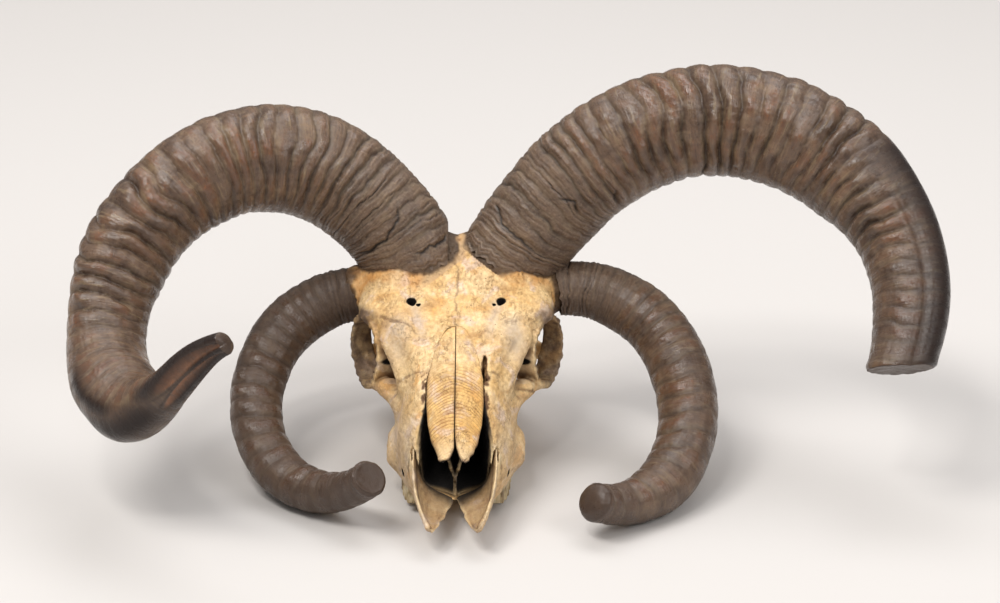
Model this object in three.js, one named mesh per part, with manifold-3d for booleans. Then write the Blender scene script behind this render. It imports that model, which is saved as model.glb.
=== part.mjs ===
// Four-horned ram skull, life size, without its lower jaw. Millimetres, +Z up.
// Skull coordinates: X = 0 on the midline, +X is the ram's left; Y = 0 at the centre of the
// orbits, -Y towards the muzzle; Z = 0 is the plane the skull lies on. The finished group is
// shifted so that its origin is under the middle of its bounding box.
import * as THREE from 'three';
import { mergeVertices } from 'three/addons/utils/BufferGeometryUtils.js';
import Module from 'manifold-3d';

const wasm = await Module();
wasm.setup();

// ---------------------------------------------------------------- driving dimensions
const GAP = 0.4;                 // clearance where a horn, nasal or premaxilla sits in the cranium
const CELL = 2.5;                // sampling step of the bone surface
const CRANIUM_TRIS = 4000;       // facets kept on the cranium before its cuts
const SLIVER_SHARE = 0.1;        // share of the cranium's corners collapsed after its cuts
const ORBIT = { x: 57, y: 0, z: 73, ring: 20.4, wall: 3.1, turn: 24, depth: 30 };
const FORAMEN_MAGNUM_R = 9.5;
const SUPRAORBITAL = { x: 27.5, y: 0, z: 104, r: 2.6 };
const INFRAORBITAL = { x: 30, y: -72.5, z: 25, r: 2.2 };

// Growth of each horn: root, first heading (azimuth, elevation in degrees), length of the
// axis, then how fast the axis bends in degrees per 100 mm, given at equal steps from root to
// tip: pitch turns it about the width of the horn, yaw about its depth. The half width (mm)
// is given at the stations "at" (fraction of the length), the depth as a share of the width.
// "cut" slants the sawn end: its slope along the width and along the depth.
// "bulge" swells one side: place and reach along the horn, angle round it, height.
const HORNS = {
  horn_upper_right: {
    root: [-23.6, 46.1, 113.1], azimuth: 177.6, elevation: 63.1, length: 455,
    pitch: [-31, 46, 16, 54, 115, -69], yaw: [31, 54, 51, 13, -50, 72],
    at: [0, 0.06, 0.12, 0.19, 0.25, 0.31, 0.38, 0.45, 0.51, 0.57, 0.62, 0.68, 0.74, 0.8, 0.87, 0.94, 1],
    half: [30, 30.5, 32, 33.5, 34.2, 33.7, 32.3, 30.2, 29.6, 28.5, 25.2, 25.6, 28.7, 19.8, 12.4, 11.1, 6],
    depth: [0.92, 0.86, 0.84, 0.84, 0.84, 0.8], baseTilt: 8, keel: 0.1, keelAngle: [0, 20, 45, 145, 150],
    steps: 34, sides: 14, sawn: false, midGap: 5.5, start: 0, bulge: [0.79, 0.04, 100, 6.5],
  },
  horn_upper_left: {
    root: [28.8, 46.4, 113], azimuth: 17, elevation: 53.6, length: 403,
    pitch: [18, 0, 20, 28, 46, 23], yaw: [2, -38, -47, -33, -32, -15],
    at: [0, 0.06, 0.12, 0.2, 0.27, 0.42, 0.5, 0.58, 0.66, 0.73, 0.81, 0.89, 0.96, 1],
    half: [30.5, 31.5, 32.6, 33.8, 34.6, 34.6, 34.7, 34, 32.3, 28, 25.2, 24, 21.5, 19.8],
    depth: [0.92, 0.86, 0.84, 0.84, 0.86, 0.86], baseTilt: 6, keel: 0.08, keelAngle: [180, 165, 150, 140, 130],
    steps: 30, sides: 14, sawn: true, midGap: 5.5, start: 0, cut: [0, -0.52],
  },
  horn_lower_right: {
    root: [-52.9, 42, 95.2], azimuth: 168.5, elevation: -3.1, length: 259,
    pitch: [84, 76, 45, 71, 87, 5], yaw: [45, 58, 36, 30, -25, -67],
    at: [0, 0.08, 0.15, 0.23, 0.31, 0.4, 0.57, 0.65, 0.74, 0.82, 0.91, 1],
    half: [16.4, 17, 17.7, 17.9, 17.3, 16.8, 16.3, 16.2, 15.2, 13.3, 11.4, 10.4],
    depth: [0.95, 0.92, 0.9, 0.9, 0.92, 0.95], baseTilt: 0, keel: 0.05, keelAngle: [0, 20, 40, 60, 60],
    steps: 24, sides: 12, sawn: true, midGap: 0, start: 0.005,
  },
  horn_lower_left: {
    root: [60, 41.7, 97.4], azimuth: 11.1, elevation: 5.4, length: 257,
    pitch: [69, 75, 44, 48, 85, 52], yaw: [-62, -53, -27, -27, -6, 58],
    at: [0, 0.09, 0.18, 0.26, 0.45, 0.53, 0.62, 0.71, 0.79, 0.86, 0.93, 1],
    half: [16.4, 17, 18.6, 19.1, 19.5, 18.9, 18.7, 18.5, 17.5, 15, 12.8, 11.2],
    depth: [0.95, 0.92, 0.9, 0.9, 0.92, 0.95], baseTilt: 0, keel: 0.05, keelAngle: [180, 160, 140, 120, 120],
    steps: 24, sides: 12, sawn: true, midGap: 0, start: 0.012,
  },
};

// Facial block under the nasals: y, bottom, top, half width at bottom, middle, top.
const MUZZLE = [
  [-98, 14, 37, 17, 23.5, 20.5], [-87, 11, 52, 24, 28.5, 23], [-76, 11, 66, 28, 32, 20],
  [-62, 12, 75.5, 33, 35, 21], [-48, 13, 82, 35.5, 35.2, 23], [-34, 14, 89, 34, 34.5, 27],
  [-20, 16, 95, 27, 34, 38], [-8, 20, 99, 18, 24, 42],
];
// Nasal passage: y, floor, roof, half width at floor, middle, roof.
const PASSAGE = [
  [-160, 21, 70, 25, 25, 25], [-104, 20.5, 66, 20, 22, 24], [-90, 21, 68, 19, 21.5, 21.5],
  [-76, 21.5, 72, 17, 19, 16.5], [-57, 22, 79, 15, 16, 13], [-33, 25, 86, 12, 12, 9],
];
// Frontal roof from the nasion to the back of the poll.
const FRONTAL = [
  [-24, 84, 96.5, 26, 32, 30], [-12, 84, 102, 40, 46, 38], [0, 86, 106.5, 52, 59, 45],
  [14, 85, 112.5, 52, 61, 45], [28, 82, 121, 48, 57, 40], [43, 78, 131, 42, 48, 34],
  [56, 74, 128, 38, 41, 30], [74, 72, 104, 28, 34, 20],
];
// Interorbital and sphenoid block between the orbits and the braincase.
const CORE = [
  [-14, 24, 88, 17, 24, 30], [4, 33, 90, 12, 18, 26], [22, 36, 95, 17, 24, 30], [38, 36, 98, 24, 32, 34],
];
// Occipital block behind the braincase.
const OCCIPUT = [[62, 30, 100, 30, 34, 26], [76, 29, 94, 29, 34, 24], [85, 29, 84, 22, 25, 14]];

// Round limbs of bone: from, to, radius at each end, blend. Paired ones lie at +X and are
// mirrored.
const LIMBS = {
  facial_tuber: [[36, -55, 26], [36.5, -42, 33], 6, 5, 9],
  zygomatic_front: [[31, -38, 50], [42, -22, 57], 6, 5, 8],
  zygomatic_body: [[42, -22, 57], [55, -2, 54], 4.6, 3.8, 6],
  zygomatic_arch: [[55, -2, 54], [58, 36, 56], 3.8, 3.8, 5],
  zygomatic_root: [[58, 36, 56], [37, 60, 52], 4, 7, 8],
  glenoid: [[26, 46, 45], [46, 50, 52], 8, 5.5, 8],
  boss_upper: [[19, 38, 92], [28, 47, 111], 24, 27, 14],
  boss_lower: [[34, 36, 88], [62, 42.5, 98.5], 19, 14, 12],
  paraoccipital: [[30, 75, 40], [32, 82, 3.6], 8, 3.6, 8],
  paraoccipital_web: [[27, 66, 36], [31.5, 77, 16], 6, 3.4, 8],
  bulla: [[23, 52, 31], [23, 62, 29], 8.5, 8.5, 5],
  meatus: [[26, 61, 38], [43, 65, 44], 6.5, 5, 6],
  mastoid: [[33, 70, 62], [34, 74, 38], 8, 6, 8],
  nuchal_crest: [[2, 83, 90], [33, 76, 74], 4.5, 4.5, 8],
  condyle: [[11, 88, 24], [18, 86, 36], 8, 9.5, 5],
  basioccipital: [[0, 84, 25], [0, 32, 38], 9.5, 8.5, 6],
  lacrimal_ridge: [[30, -38, 66], [43, -17, 88], 4, 4, 9],
};
// Cheek teeth of one side: centre y, centre x, length, width, height of the biting edge.
const TEETH = [
  [-77, 25.6, 8, 8, 6.5], [-68, 26.6, 9.2, 9.6, 4.5], [-57.7, 27.2, 10.6, 11, 2.8],
  [-45.6, 27.4, 13, 12, 1.4], [-31.2, 27.6, 15, 12.6, 0], [-15.2, 27, 16.4, 12, 0],
];
// Nasal bone of the ram's left: y, outer half width, inner half width, ridge height, drop of
// the outer edge.
const NASAL = [
  [-21, 5, 0.3, 98, 1], [-29, 9.5, 0.3, 95, 2.2], [-39, 13, 0.3, 90.8, 3.6],
  [-55.5, 16.8, 0.3, 83.2, 5.2], [-72, 17.2, 0.3, 75.2, 6], [-85, 16.2, 0.3, 68.2, 6.6],
  [-97.5, 13.6, 0.3, 61.2, 6], [-106, 10.8, 1.2, 56.6, 4.4], [-111.5, 8.4, 3, 53.6, 2.8], [-114.5, 6.6, 4.4, 52, 1.4],
];
const NASAL_THICK = 3;
// Premaxilla of the ram's left, front to back: y, then the middle line of its curved plate from
// the outer upper edge over the corner to the inner edge (x, z), and half its thickness.
const PREMAXILLA = [
  [-139, [15.4, 20], [14.4, 18], [12.4, 17], 1.9], [-135.5, [17.2, 22], [15.2, 18.4], [11.2, 16.6], 1.7],
  [-128, [20, 26], [16.6, 19], [9, 16.2], 1.5], [-118, [22.8, 31], [18, 20.2], [6, 16.4], 1.4],
  [-107, [24.4, 36], [18, 21.8], [3, 17], 1.4], [-96, [25, 41], [18, 23.5], [1.6, 17.6], 1.4],
  [-86, [24.8, 45.5], [22.2, 29], [19.5, 22.5], 1.3],
];

// ---------------------------------------------------------------- horns
const DEG = Math.PI / 180;
const lerpTable = (xs, ys, x) => {
  let i = 0;
  while (i < xs.length - 2 && x > xs[i + 1]) i++;
  const u = Math.min(1, Math.max(0, (x - xs[i]) / (xs[i + 1] - xs[i])));
  return ys[i] + (ys[i + 1] - ys[i]) * u;
};
const evenly = (values, t) => lerpTable(values.map((_, i) => i / (values.length - 1)), values, t);

// Axis of a horn as points with a frame (width, depth, heading) at each.
function hornAxis(h) {
  const n = 120;
  const ds = h.length / n;
  const az = h.azimuth * DEG;
  const el = h.elevation * DEG;
  const heading = new THREE.Vector3(Math.cos(el) * Math.cos(az), Math.cos(el) * Math.sin(az), Math.sin(el));
  const width = new THREE.Vector3().crossVectors(heading, new THREE.Vector3(0, 1, 0)).normalize();
  const depth = new THREE.Vector3().crossVectors(width, heading);
  const frame = new THREE.Matrix4().makeBasis(width, depth, heading);
  const at = new THREE.Vector3(...h.root);
  const out = [{ at: at.clone(), frame: frame.clone() }];
  for (let i = 0; i < n; i++) {
    const t = (i + 0.5) / n;
    frame.multiply(new THREE.Matrix4().makeRotationX(evenly(h.pitch, t) * ds / 100 * DEG));
    frame.multiply(new THREE.Matrix4().makeRotationY(evenly(h.yaw, t) * ds / 100 * DEG));
    at.addScaledVector(new THREE.Vector3().setFromMatrixColumn(frame, 2), ds);
    out.push({ at: at.clone(), frame: frame.clone() });
  }
  return out;
}

// Point of the horn surface at t along it and angle a around it, grown by g.
function hornPoint(h, axis, t, a, g) {
  const k = Math.min(axis.length - 1, Math.round(t * (axis.length - 1)));
  const { at, frame } = axis[k];
  const ka = evenly(h.keelAngle, t) * DEG;
  const away = Math.cos(a - ka);
  const swell = 1 + h.keel * Math.exp(-((1 - away) / 0.12)) - 0.5 * h.keel * Math.max(0, -away);
  const half = lerpTable(h.at, h.half, t);
  const [bt, breach, bangle, bhigh] = h.bulge || [0, 1, 0, 0];
  const bulge = bhigh * Math.exp(-(((t - bt) / breach) ** 2) - (1 - Math.cos(a - bangle * DEG)) / 0.3);
  const c = Math.cos(a) * (half * swell + bulge + g);
  const s = Math.sin(a) * (half * evenly(h.depth, t) * swell + bulge + g);
  const fade = Math.max(0, 1 - t / 0.16);
  const nearEnd = Math.max(0, (t - 0.86) / 0.14) ** 2;
  const [cutW, cutD] = h.cut || [0, 0];
  const slant = -Math.sign(h.root[0]) * Math.tan(h.baseTilt * DEG) * Math.cos(a) * half * fade * fade
    + nearEnd * (cutW * c + cutD * s);
  const p = new THREE.Vector3(c, s, slant).applyMatrix4(new THREE.Matrix4().extractRotation(frame)).add(at);
  if (h.midGap > 0) {
    const side = Math.sign(h.root[0]);
    p.x = side * Math.max(h.midGap - g, p.x * side);
  }
  p.z = Math.max(-g, p.z);
  return p;
}

function closedLoft(rings, startCap, endCap) {
  const sides = rings[0].length;
  const pos = rings.flat().concat([startCap, endCap]);
  const first = pos.length - 2;
  const last = pos.length - 1;
  const idx = [];
  for (let i = 0; i < rings.length - 1; i++) {
    for (let j = 0; j < sides; j++) {
      const a = i * sides + j;
      const b = i * sides + (j + 1) % sides;
      idx.push(a, b, b + sides, a, b + sides, a + sides);
    }
  }
  const tail = (rings.length - 1) * sides;
  for (let j = 0; j < sides; j++) {
    idx.push(first, (j + 1) % sides, j);
    idx.push(last, tail + j, tail + (j + 1) % sides);
  }
  const g = new THREE.BufferGeometry();
  g.setAttribute('position', new THREE.Float32BufferAttribute(pos.flatMap((p) => [p.x, p.y, p.z]), 3));
  g.setIndex(idx);
  return faceOut(g);
}

function signedVolume(g) {
  const p = g.getAttribute('position');
  const ix = g.index.array;
  let v = 0;
  const [a, b, c] = [new THREE.Vector3(), new THREE.Vector3(), new THREE.Vector3()];
  for (let i = 0; i < ix.length; i += 3) {
    a.fromBufferAttribute(p, ix[i]);
    b.fromBufferAttribute(p, ix[i + 1]);
    c.fromBufferAttribute(p, ix[i + 2]);
    v += a.dot(b.cross(c)) / 6;
  }
  return v;
}

function faceOut(g) {
  if (signedVolume(g) < 0) {
    const ix = g.index.array;
    for (let i = 0; i < ix.length; i += 3) [ix[i + 1], ix[i + 2]] = [ix[i + 2], ix[i + 1]];
  }
  return g;
}

function hornGeometry(h, g) {
  const axis = hornAxis(h);
  const rings = [];
  for (let i = 0; i <= h.steps; i++) {
    const t = h.start + (1 - h.start) * i / h.steps;
    const ring = [];
    for (let j = 0; j < h.sides; j++) ring.push(hornPoint(h, axis, t, (j / h.sides) * 2 * Math.PI, g));
    rings.push(ring);
  }
  const middle = (ring) => ring.reduce((s, p) => s.add(p), new THREE.Vector3()).divideScalar(ring.length);
  const startCap = middle(rings[0]);
  const endCap = middle(rings[h.steps]);
  const forward = new THREE.Vector3().setFromMatrixColumn(axis[axis.length - 1].frame, 2);
  endCap.addScaledVector(forward, h.sawn ? 0.6 : 2.5);
  if (g > 0) {
    const back = new THREE.Vector3().setFromMatrixColumn(axis[Math.round(h.start * 120)].frame, 2);
    for (const p of rings[0]) p.addScaledVector(back, -g);
    startCap.addScaledVector(back, -g);
  }
  return closedLoft(rings, startCap, endCap);
}

// ---------------------------------------------------------------- bone surface as a distance field
const smin = (a, b, k) => {
  const h = Math.max(k - Math.abs(a - b), 0) / k;
  return Math.min(a, b) - h * h * k * 0.25;
};
const smax = (a, b, k) => -smin(-a, -b, k);
const clamp = (v, lo, hi) => Math.min(hi, Math.max(lo, v));

function limb(x, y, z, [a, b, ra, rb]) {
  const bx = b[0] - a[0], by = b[1] - a[1], bz = b[2] - a[2];
  const px = x - a[0], py = y - a[1], pz = z - a[2];
  const t = clamp((px * bx + py * by + pz * bz) / (bx * bx + by * by + bz * bz), 0, 1);
  return Math.hypot(px - bx * t, py - by * t, pz - bz * t) - (ra + (rb - ra) * t);
}
function egg(x, y, z, c, r) {
  const qx = (x - c[0]) / r[0], qy = (y - c[1]) / r[1], qz = (z - c[2]) / r[2];
  const k0 = Math.hypot(qx, qy, qz);
  const k1 = Math.hypot(qx / r[0], qy / r[1], qz / r[2]);
  return k1 > 0 ? k0 * (k0 - 1) / k1 : -Math.min(...r);
}
// Block of bone whose section in XZ changes along Y: bottom, top and three half widths.
function block(x, y, z, rows, round) {
  const y0 = rows[0][0], y1 = rows[rows.length - 1][0];
  let i = 0;
  while (i < rows.length - 2 && y > rows[i + 1][0]) i++;
  const u = clamp((y - rows[i][0]) / (rows[i + 1][0] - rows[i][0]), 0, 1);
  const m = (k) => rows[i][k] + (rows[i + 1][k] - rows[i][k]) * u;
  const zb = m(1), zt = m(2);
  const v = clamp((z - zb) / (zt - zb), 0, 1);
  const w = m(3) * (1 - v) * (1 - 2 * v) + m(4) * 4 * v * (1 - v) + m(5) * v * (2 * v - 1);
  const qx = Math.abs(x) - w + round;
  const qz = Math.abs(z - (zb + zt) / 2) - (zt - zb) / 2 + round;
  const qy = Math.max(y0 - y, y - y1) + round;
  return Math.hypot(Math.max(qx, 0), Math.max(qy, 0), Math.max(qz, 0)) + Math.min(Math.max(qx, qy, qz), 0) - round;
}

const AX = [Math.cos(ORBIT.turn * DEG), -Math.sin(ORBIT.turn * DEG), 0.06];
function orbitFrame(x, y, z) {
  const px = x - ORBIT.x, py = y - ORBIT.y, pz = z - ORBIT.z;
  const s = px * AX[0] + py * AX[1] + pz * AX[2];
  const r = Math.sqrt(Math.max(0, px * px + py * py + pz * pz - s * s));
  return [s, r];
}

function craniumField(x0, y, z) {
  const x = Math.abs(x0);
  const L = LIMBS;
  let d = block(x, y, z, MUZZLE, 5);
  d = smin(d, block(x, y, z, FRONTAL, 6), 9);
  d = smin(d, block(x, y, z, CORE, 6), 8);
  d = smin(d, egg(x, y, z, [0, 49, 67], [36, 36, 35]), 8);
  d = smin(d, block(x, y, z, OCCIPUT, 7), 8);
  for (const key of Object.keys(L)) d = smin(d, limb(x, y, z, L[key]), L[key][4]);
  // pterygoid plates under the sphenoid
  const plate = Math.max(Math.abs(x - 13 - (y - 8) * 0.04) - 2.3, Math.abs(y - 9) - 17, 16 + (y + 8) * 0.45 - z, z - 44);
  d = smin(d, plate, 4);
  // orbit: a short tube of bone around a funnel that runs inwards
  const [s, r] = orbitFrame(x, y, z);
  const tube = Math.max(Math.abs(r - ORBIT.ring - ORBIT.wall / 2 + 0.8) - ORBIT.wall / 2 - 0.3, Math.abs(s + 7) - 7.5);
  const funnel = Math.max(r - (ORBIT.ring - 0.6) - Math.min(0, s) * 0.28, -(s + ORBIT.depth));
  d = smax(d, -Math.max(funnel, -60 + y), 3);
  d = smin(d, tube, 3);
  // temporal fossa open behind the orbit, between braincase and arch
  d = smax(d, -limb(x, y, z, [[46, 28, 82], [45, 35, 48], 8.5, 9.5]), 5);
  // palate arched between the tooth rows
  d = smax(d, -egg(x, y, z, [0, -58, 4], [19.5, 74, 13.5]), 3);
  // nasal passage open at the front
  d = smax(d, -block(x, y, z, PASSAGE, 4), 2);
  // foramen magnum and ear hole
  d = smax(d, -limb(x, y, z, [[0, 104, 40], [0, 70, 45], FORAMEN_MAGNUM_R, 8]), 2);
  d = smax(d, -z, 0.5);
  return d;
}

// Closed surface of a distance field: each cell of the sampling grid is split in six
// tetrahedra, so that the surface is always a clean manifold.
function surfaceOf(field, lo, hi, step) {
  const n = [0, 1, 2].map((k) => Math.ceil((hi[k] - lo[k]) / step) + 1);
  const id = (i, j, k) => (k * n[1] + j) * n[0] + i;
  const val = new Float64Array(n[0] * n[1] * n[2]);
  for (let k = 0; k < n[2]; k++) {
    for (let j = 0; j < n[1]; j++) {
      for (let i = 0; i < n[0]; i++) {
        let d = field(lo[0] + i * step, lo[1] + j * step, lo[2] + k * step);
        if (i === 0 || j === 0 || k === 0 || i === n[0] - 1 || j === n[1] - 1 || k === n[2] - 1) d = Math.max(d, 0.5 * step);
        if (Math.abs(d) < 0.06 * step) d = d < 0 ? -0.06 * step : 0.06 * step;
        val[id(i, j, k)] = d;
      }
    }
  }
  const verts = [];
  const cache = new Map();
  const at = (v) => [v % n[0], Math.floor(v / n[0]) % n[1], Math.floor(v / (n[0] * n[1]))];
  const cut = (a, b) => {
    const key = a < b ? a * val.length + b : b * val.length + a;
    if (cache.has(key)) return cache.get(key);
    const t = val[a] / (val[a] - val[b]);
    const pa = at(a), pb = at(b);
    const nid = verts.length / 3;
    for (let c = 0; c < 3; c++) verts.push(lo[c] + step * (pa[c] + (pb[c] - pa[c]) * t));
    cache.set(key, nid);
    return nid;
  };
  const tets = [[0, 5, 1, 6], [0, 1, 2, 6], [0, 2, 3, 6], [0, 3, 7, 6], [0, 7, 4, 6], [0, 4, 5, 6]];
  const idx = [];
  for (let k = 0; k < n[2] - 1; k++) {
    for (let j = 0; j < n[1] - 1; j++) {
      for (let i = 0; i < n[0] - 1; i++) {
        const c = [id(i, j, k), id(i + 1, j, k), id(i + 1, j + 1, k), id(i, j + 1, k),
          id(i, j, k + 1), id(i + 1, j, k + 1), id(i + 1, j + 1, k + 1), id(i, j + 1, k + 1)];
        let inside = 0;
        for (const v of c) if (val[v] < 0) inside++;
        if (inside === 0 || inside === 8) continue;
        for (const t of tets) {
          const q = t.map((m) => c[m]);
          const neg = q.filter((v) => val[v] < 0);
          const pos = q.filter((v) => val[v] >= 0);
          if (neg.length === 1) pushTri(idx, verts, cut(neg[0], pos[0]), cut(neg[0], pos[1]), cut(neg[0], pos[2]), neg[0], lo, step, at);
          else if (neg.length === 3) pushTri(idx, verts, cut(neg[0], pos[0]), cut(neg[1], pos[0]), cut(neg[2], pos[0]), neg[0], lo, step, at);
          else if (neg.length === 2) {
            const [p, r] = neg;
            const [a, b] = pos;
            pushTri(idx, verts, cut(p, a), cut(p, b), cut(r, b), p, lo, step, at);
            pushTri(idx, verts, cut(p, a), cut(r, b), cut(r, a), p, lo, step, at);
          }
        }
      }
    }
  }
  const g = new THREE.BufferGeometry();
  g.setAttribute('position', new THREE.Float32BufferAttribute(verts, 3));
  g.setIndex(idx);
  return g;
}
// Adds a triangle so that the inner grid point v lies behind it.
function pushTri(idx, verts, a, b, c, v, lo, step, at) {
  const g = at(v);
  const P = (i) => new THREE.Vector3(verts[3 * i], verts[3 * i + 1], verts[3 * i + 2]);
  const pa = P(a);
  const nrm = P(b).sub(pa).cross(P(c).sub(pa));
  const inner = new THREE.Vector3(lo[0] + g[0] * step, lo[1] + g[1] * step, lo[2] + g[2] * step).sub(pa);
  if (nrm.dot(inner) > 0) idx.push(a, c, b);
  else idx.push(a, b, c);
}

// ---------------------------------------------------------------- solids
function solid(geometry) {
  let g = geometry.clone();
  for (const name of Object.keys(g.attributes)) if (name !== 'position') g.deleteAttribute(name);
  g = mergeVertices(g, 1e-4);
  faceOut(g);
  return new wasm.Manifold(new wasm.Mesh({
    numProp: 3,
    vertProperties: new Float32Array(g.getAttribute('position').array),
    triVerts: new Uint32Array(g.index.array),
  }));
}
function geometryOf(m) {
  const mesh = m.getMesh();
  const g = new THREE.BufferGeometry();
  g.setAttribute('position', new THREE.BufferAttribute(new Float32Array(mesh.vertProperties), 3));
  g.setIndex(new THREE.BufferAttribute(new Uint32Array(mesh.triVerts), 1));
  return g;
}
function largestPiece(m) {
  return m.decompose().sort((a, b) => b.volume() - a.volume())[0];
}

// Thins a closed surface to about the wanted number of facets. Edges collapse in the order of
// the squared distance they move the surface, never where two sheets of bone would join or a
// facet would turn over.
function thinned(geometry, facets) {
  const P = Array.from(geometry.getAttribute('position').array);
  const ix = geometry.index.array;
  const nv = P.length / 3;
  const F = [];
  const around = Array.from({ length: nv }, () => new Set());
  const Q = Array.from({ length: nv }, () => new Float64Array(10));
  const normal = (a, b, c) => {
    const ux = P[3 * b] - P[3 * a], uy = P[3 * b + 1] - P[3 * a + 1], uz = P[3 * b + 2] - P[3 * a + 2];
    const vx = P[3 * c] - P[3 * a], vy = P[3 * c + 1] - P[3 * a + 1], vz = P[3 * c + 2] - P[3 * a + 2];
    return [uy * vz - uz * vy, uz * vx - ux * vz, ux * vy - uy * vx];
  };
  for (let i = 0; i < ix.length; i += 3) {
    const f = [ix[i], ix[i + 1], ix[i + 2]];
    F.push(f);
    const n = normal(...f);
    const area = Math.hypot(...n) || 1e-12;
    const [x, y, z] = n.map((v) => v / area);
    const w = -(x * P[3 * f[0]] + y * P[3 * f[0] + 1] + z * P[3 * f[0] + 2]);
    const q = [x * x, x * y, x * z, x * w, y * y, y * z, y * w, z * z, z * w, w * w];
    for (const v of f) {
      around[v].add(F.length - 1);
      for (let k = 0; k < 10; k++) Q[v][k] += q[k] * area;
    }
  }
  const cost = (q, x, y, z) => q[0] * x * x + q[4] * y * y + q[7] * z * z + q[9]
    + 2 * (q[1] * x * y + q[2] * x * z + q[3] * x + q[5] * y * z + q[6] * y + q[8] * z);
  const stamp = new Uint32Array(nv);
  const heap = [];
  const push = (item) => {
    let i = heap.push(item) - 1;
    while (i > 0) {
      const up = (i - 1) >> 1;
      if (heap[up].e <= heap[i].e) break;
      [heap[up], heap[i]] = [heap[i], heap[up]];
      i = up;
    }
  };
  const pop = () => {
    const top = heap[0];
    const last = heap.pop();
    if (heap.length) {
      heap[0] = last;
      let i = 0;
      for (;;) {
        let m = i;
        for (const c of [2 * i + 1, 2 * i + 2]) if (c < heap.length && heap[c].e < heap[m].e) m = c;
        if (m === i) break;
        [heap[m], heap[i]] = [heap[i], heap[m]];
        i = m;
      }
    }
    return top;
  };
  const consider = (a, b) => {
    const q = Q[a].map((v, k) => v + Q[b][k]);
    const pts = [];
    const det = q[0] * (q[4] * q[7] - q[5] * q[5]) - q[1] * (q[1] * q[7] - q[5] * q[2]) + q[2] * (q[1] * q[5] - q[4] * q[2]);
    const len = Math.hypot(P[3 * a] - P[3 * b], P[3 * a + 1] - P[3 * b + 1], P[3 * a + 2] - P[3 * b + 2]);
    if (Math.abs(det) > 1e-4) {
      const r = [-q[3], -q[6], -q[8]];
      const x = (r[0] * (q[4] * q[7] - q[5] * q[5]) - q[1] * (r[1] * q[7] - q[5] * r[2]) + q[2] * (r[1] * q[5] - q[4] * r[2])) / det;
      const y = (q[0] * (r[1] * q[7] - r[2] * q[5]) - r[0] * (q[1] * q[7] - q[5] * q[2]) + q[2] * (q[1] * r[2] - r[1] * q[2])) / det;
      const z = (q[0] * (q[4] * r[2] - q[5] * r[1]) - q[1] * (q[1] * r[2] - r[1] * q[2]) + r[0] * (q[1] * q[5] - q[4] * q[2])) / det;
      if (Math.hypot(x - P[3 * a], y - P[3 * a + 1], z - P[3 * a + 2]) < 2 * len) pts.push([x, y, z]);
    }
    pts.push([0, 1, 2].map((k) => (P[3 * a + k] + P[3 * b + k]) / 2));
    pts.push([P[3 * a], P[3 * a + 1], P[3 * a + 2]], [P[3 * b], P[3 * b + 1], P[3 * b + 2]]);
    let best = null;
    for (const p of pts) {
      const e = Math.max(0, cost(q, ...p)) + 1e-6 * len * len;
      if (!best || e < best.e) best = { e, p };
    }
    push({ e: best.e, p: best.p, a, b, sa: stamp[a], sb: stamp[b] });
  };
  const ring = (v) => {
    const out = new Set();
    for (const f of around[v]) for (const w of F[f]) if (w !== v) out.add(w);
    return out;
  };
  for (let v = 0; v < nv; v++) for (const w of ring(v)) if (v < w) consider(v, w);
  let count = F.length;
  while (count > facets && heap.length) {
    const { a, b, p, sa, sb } = pop();
    if (stamp[a] !== sa || stamp[b] !== sb || !around[a].size || !around[b].size) continue;
    const ra = ring(a);
    const shared = [...ring(b)].filter((v) => ra.has(v));
    const gone = [...around[a]].filter((f) => around[b].has(f));
    if (shared.length !== 2 || gone.length !== 2) continue;
    if (shared.some((v) => around[v].size <= 3)) continue;
    let turned = false;
    for (const [v, o] of [[a, b], [b, a]]) {
      for (const f of around[v]) {
        if (F[f].includes(o)) continue;
        const before = normal(...F[f]);
        const keep = [P[3 * v], P[3 * v + 1], P[3 * v + 2]];
        [P[3 * v], P[3 * v + 1], P[3 * v + 2]] = p;
        const after = normal(...F[f]);
        [P[3 * v], P[3 * v + 1], P[3 * v + 2]] = keep;
        const dot = before[0] * after[0] + before[1] * after[1] + before[2] * after[2];
        const size = Math.hypot(...before) * Math.hypot(...after);
        if (dot < 0.25 * size || Math.hypot(...after) < 1e-3) turned = true;
      }
    }
    if (turned) continue;
    for (const f of gone) {
      for (const v of F[f]) around[v].delete(f);
      F[f] = null;
      count--;
    }
    for (const f of around[b]) {
      F[f] = F[f].map((v) => (v === b ? a : v));
      around[a].add(f);
    }
    around[b].clear();
    for (let k = 0; k < 3; k++) P[3 * a + k] = p[k];
    for (let k = 0; k < 10; k++) Q[a][k] += Q[b][k];
    stamp[a]++;
    stamp[b]++;
    for (const v of ring(a)) consider(a, v);
  }
  const remap = new Map();
  const pos = [];
  const out = [];
  for (const f of F) {
    if (!f) continue;
    for (const v of f) {
      if (!remap.has(v)) {
        remap.set(v, pos.length / 3);
        pos.push(P[3 * v], P[3 * v + 1], P[3 * v + 2]);
      }
      out.push(remap.get(v));
    }
  }
  const g = new THREE.BufferGeometry();
  g.setAttribute('position', new THREE.Float32BufferAttribute(pos, 3));
  g.setIndex(out);
  return g;
}

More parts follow.
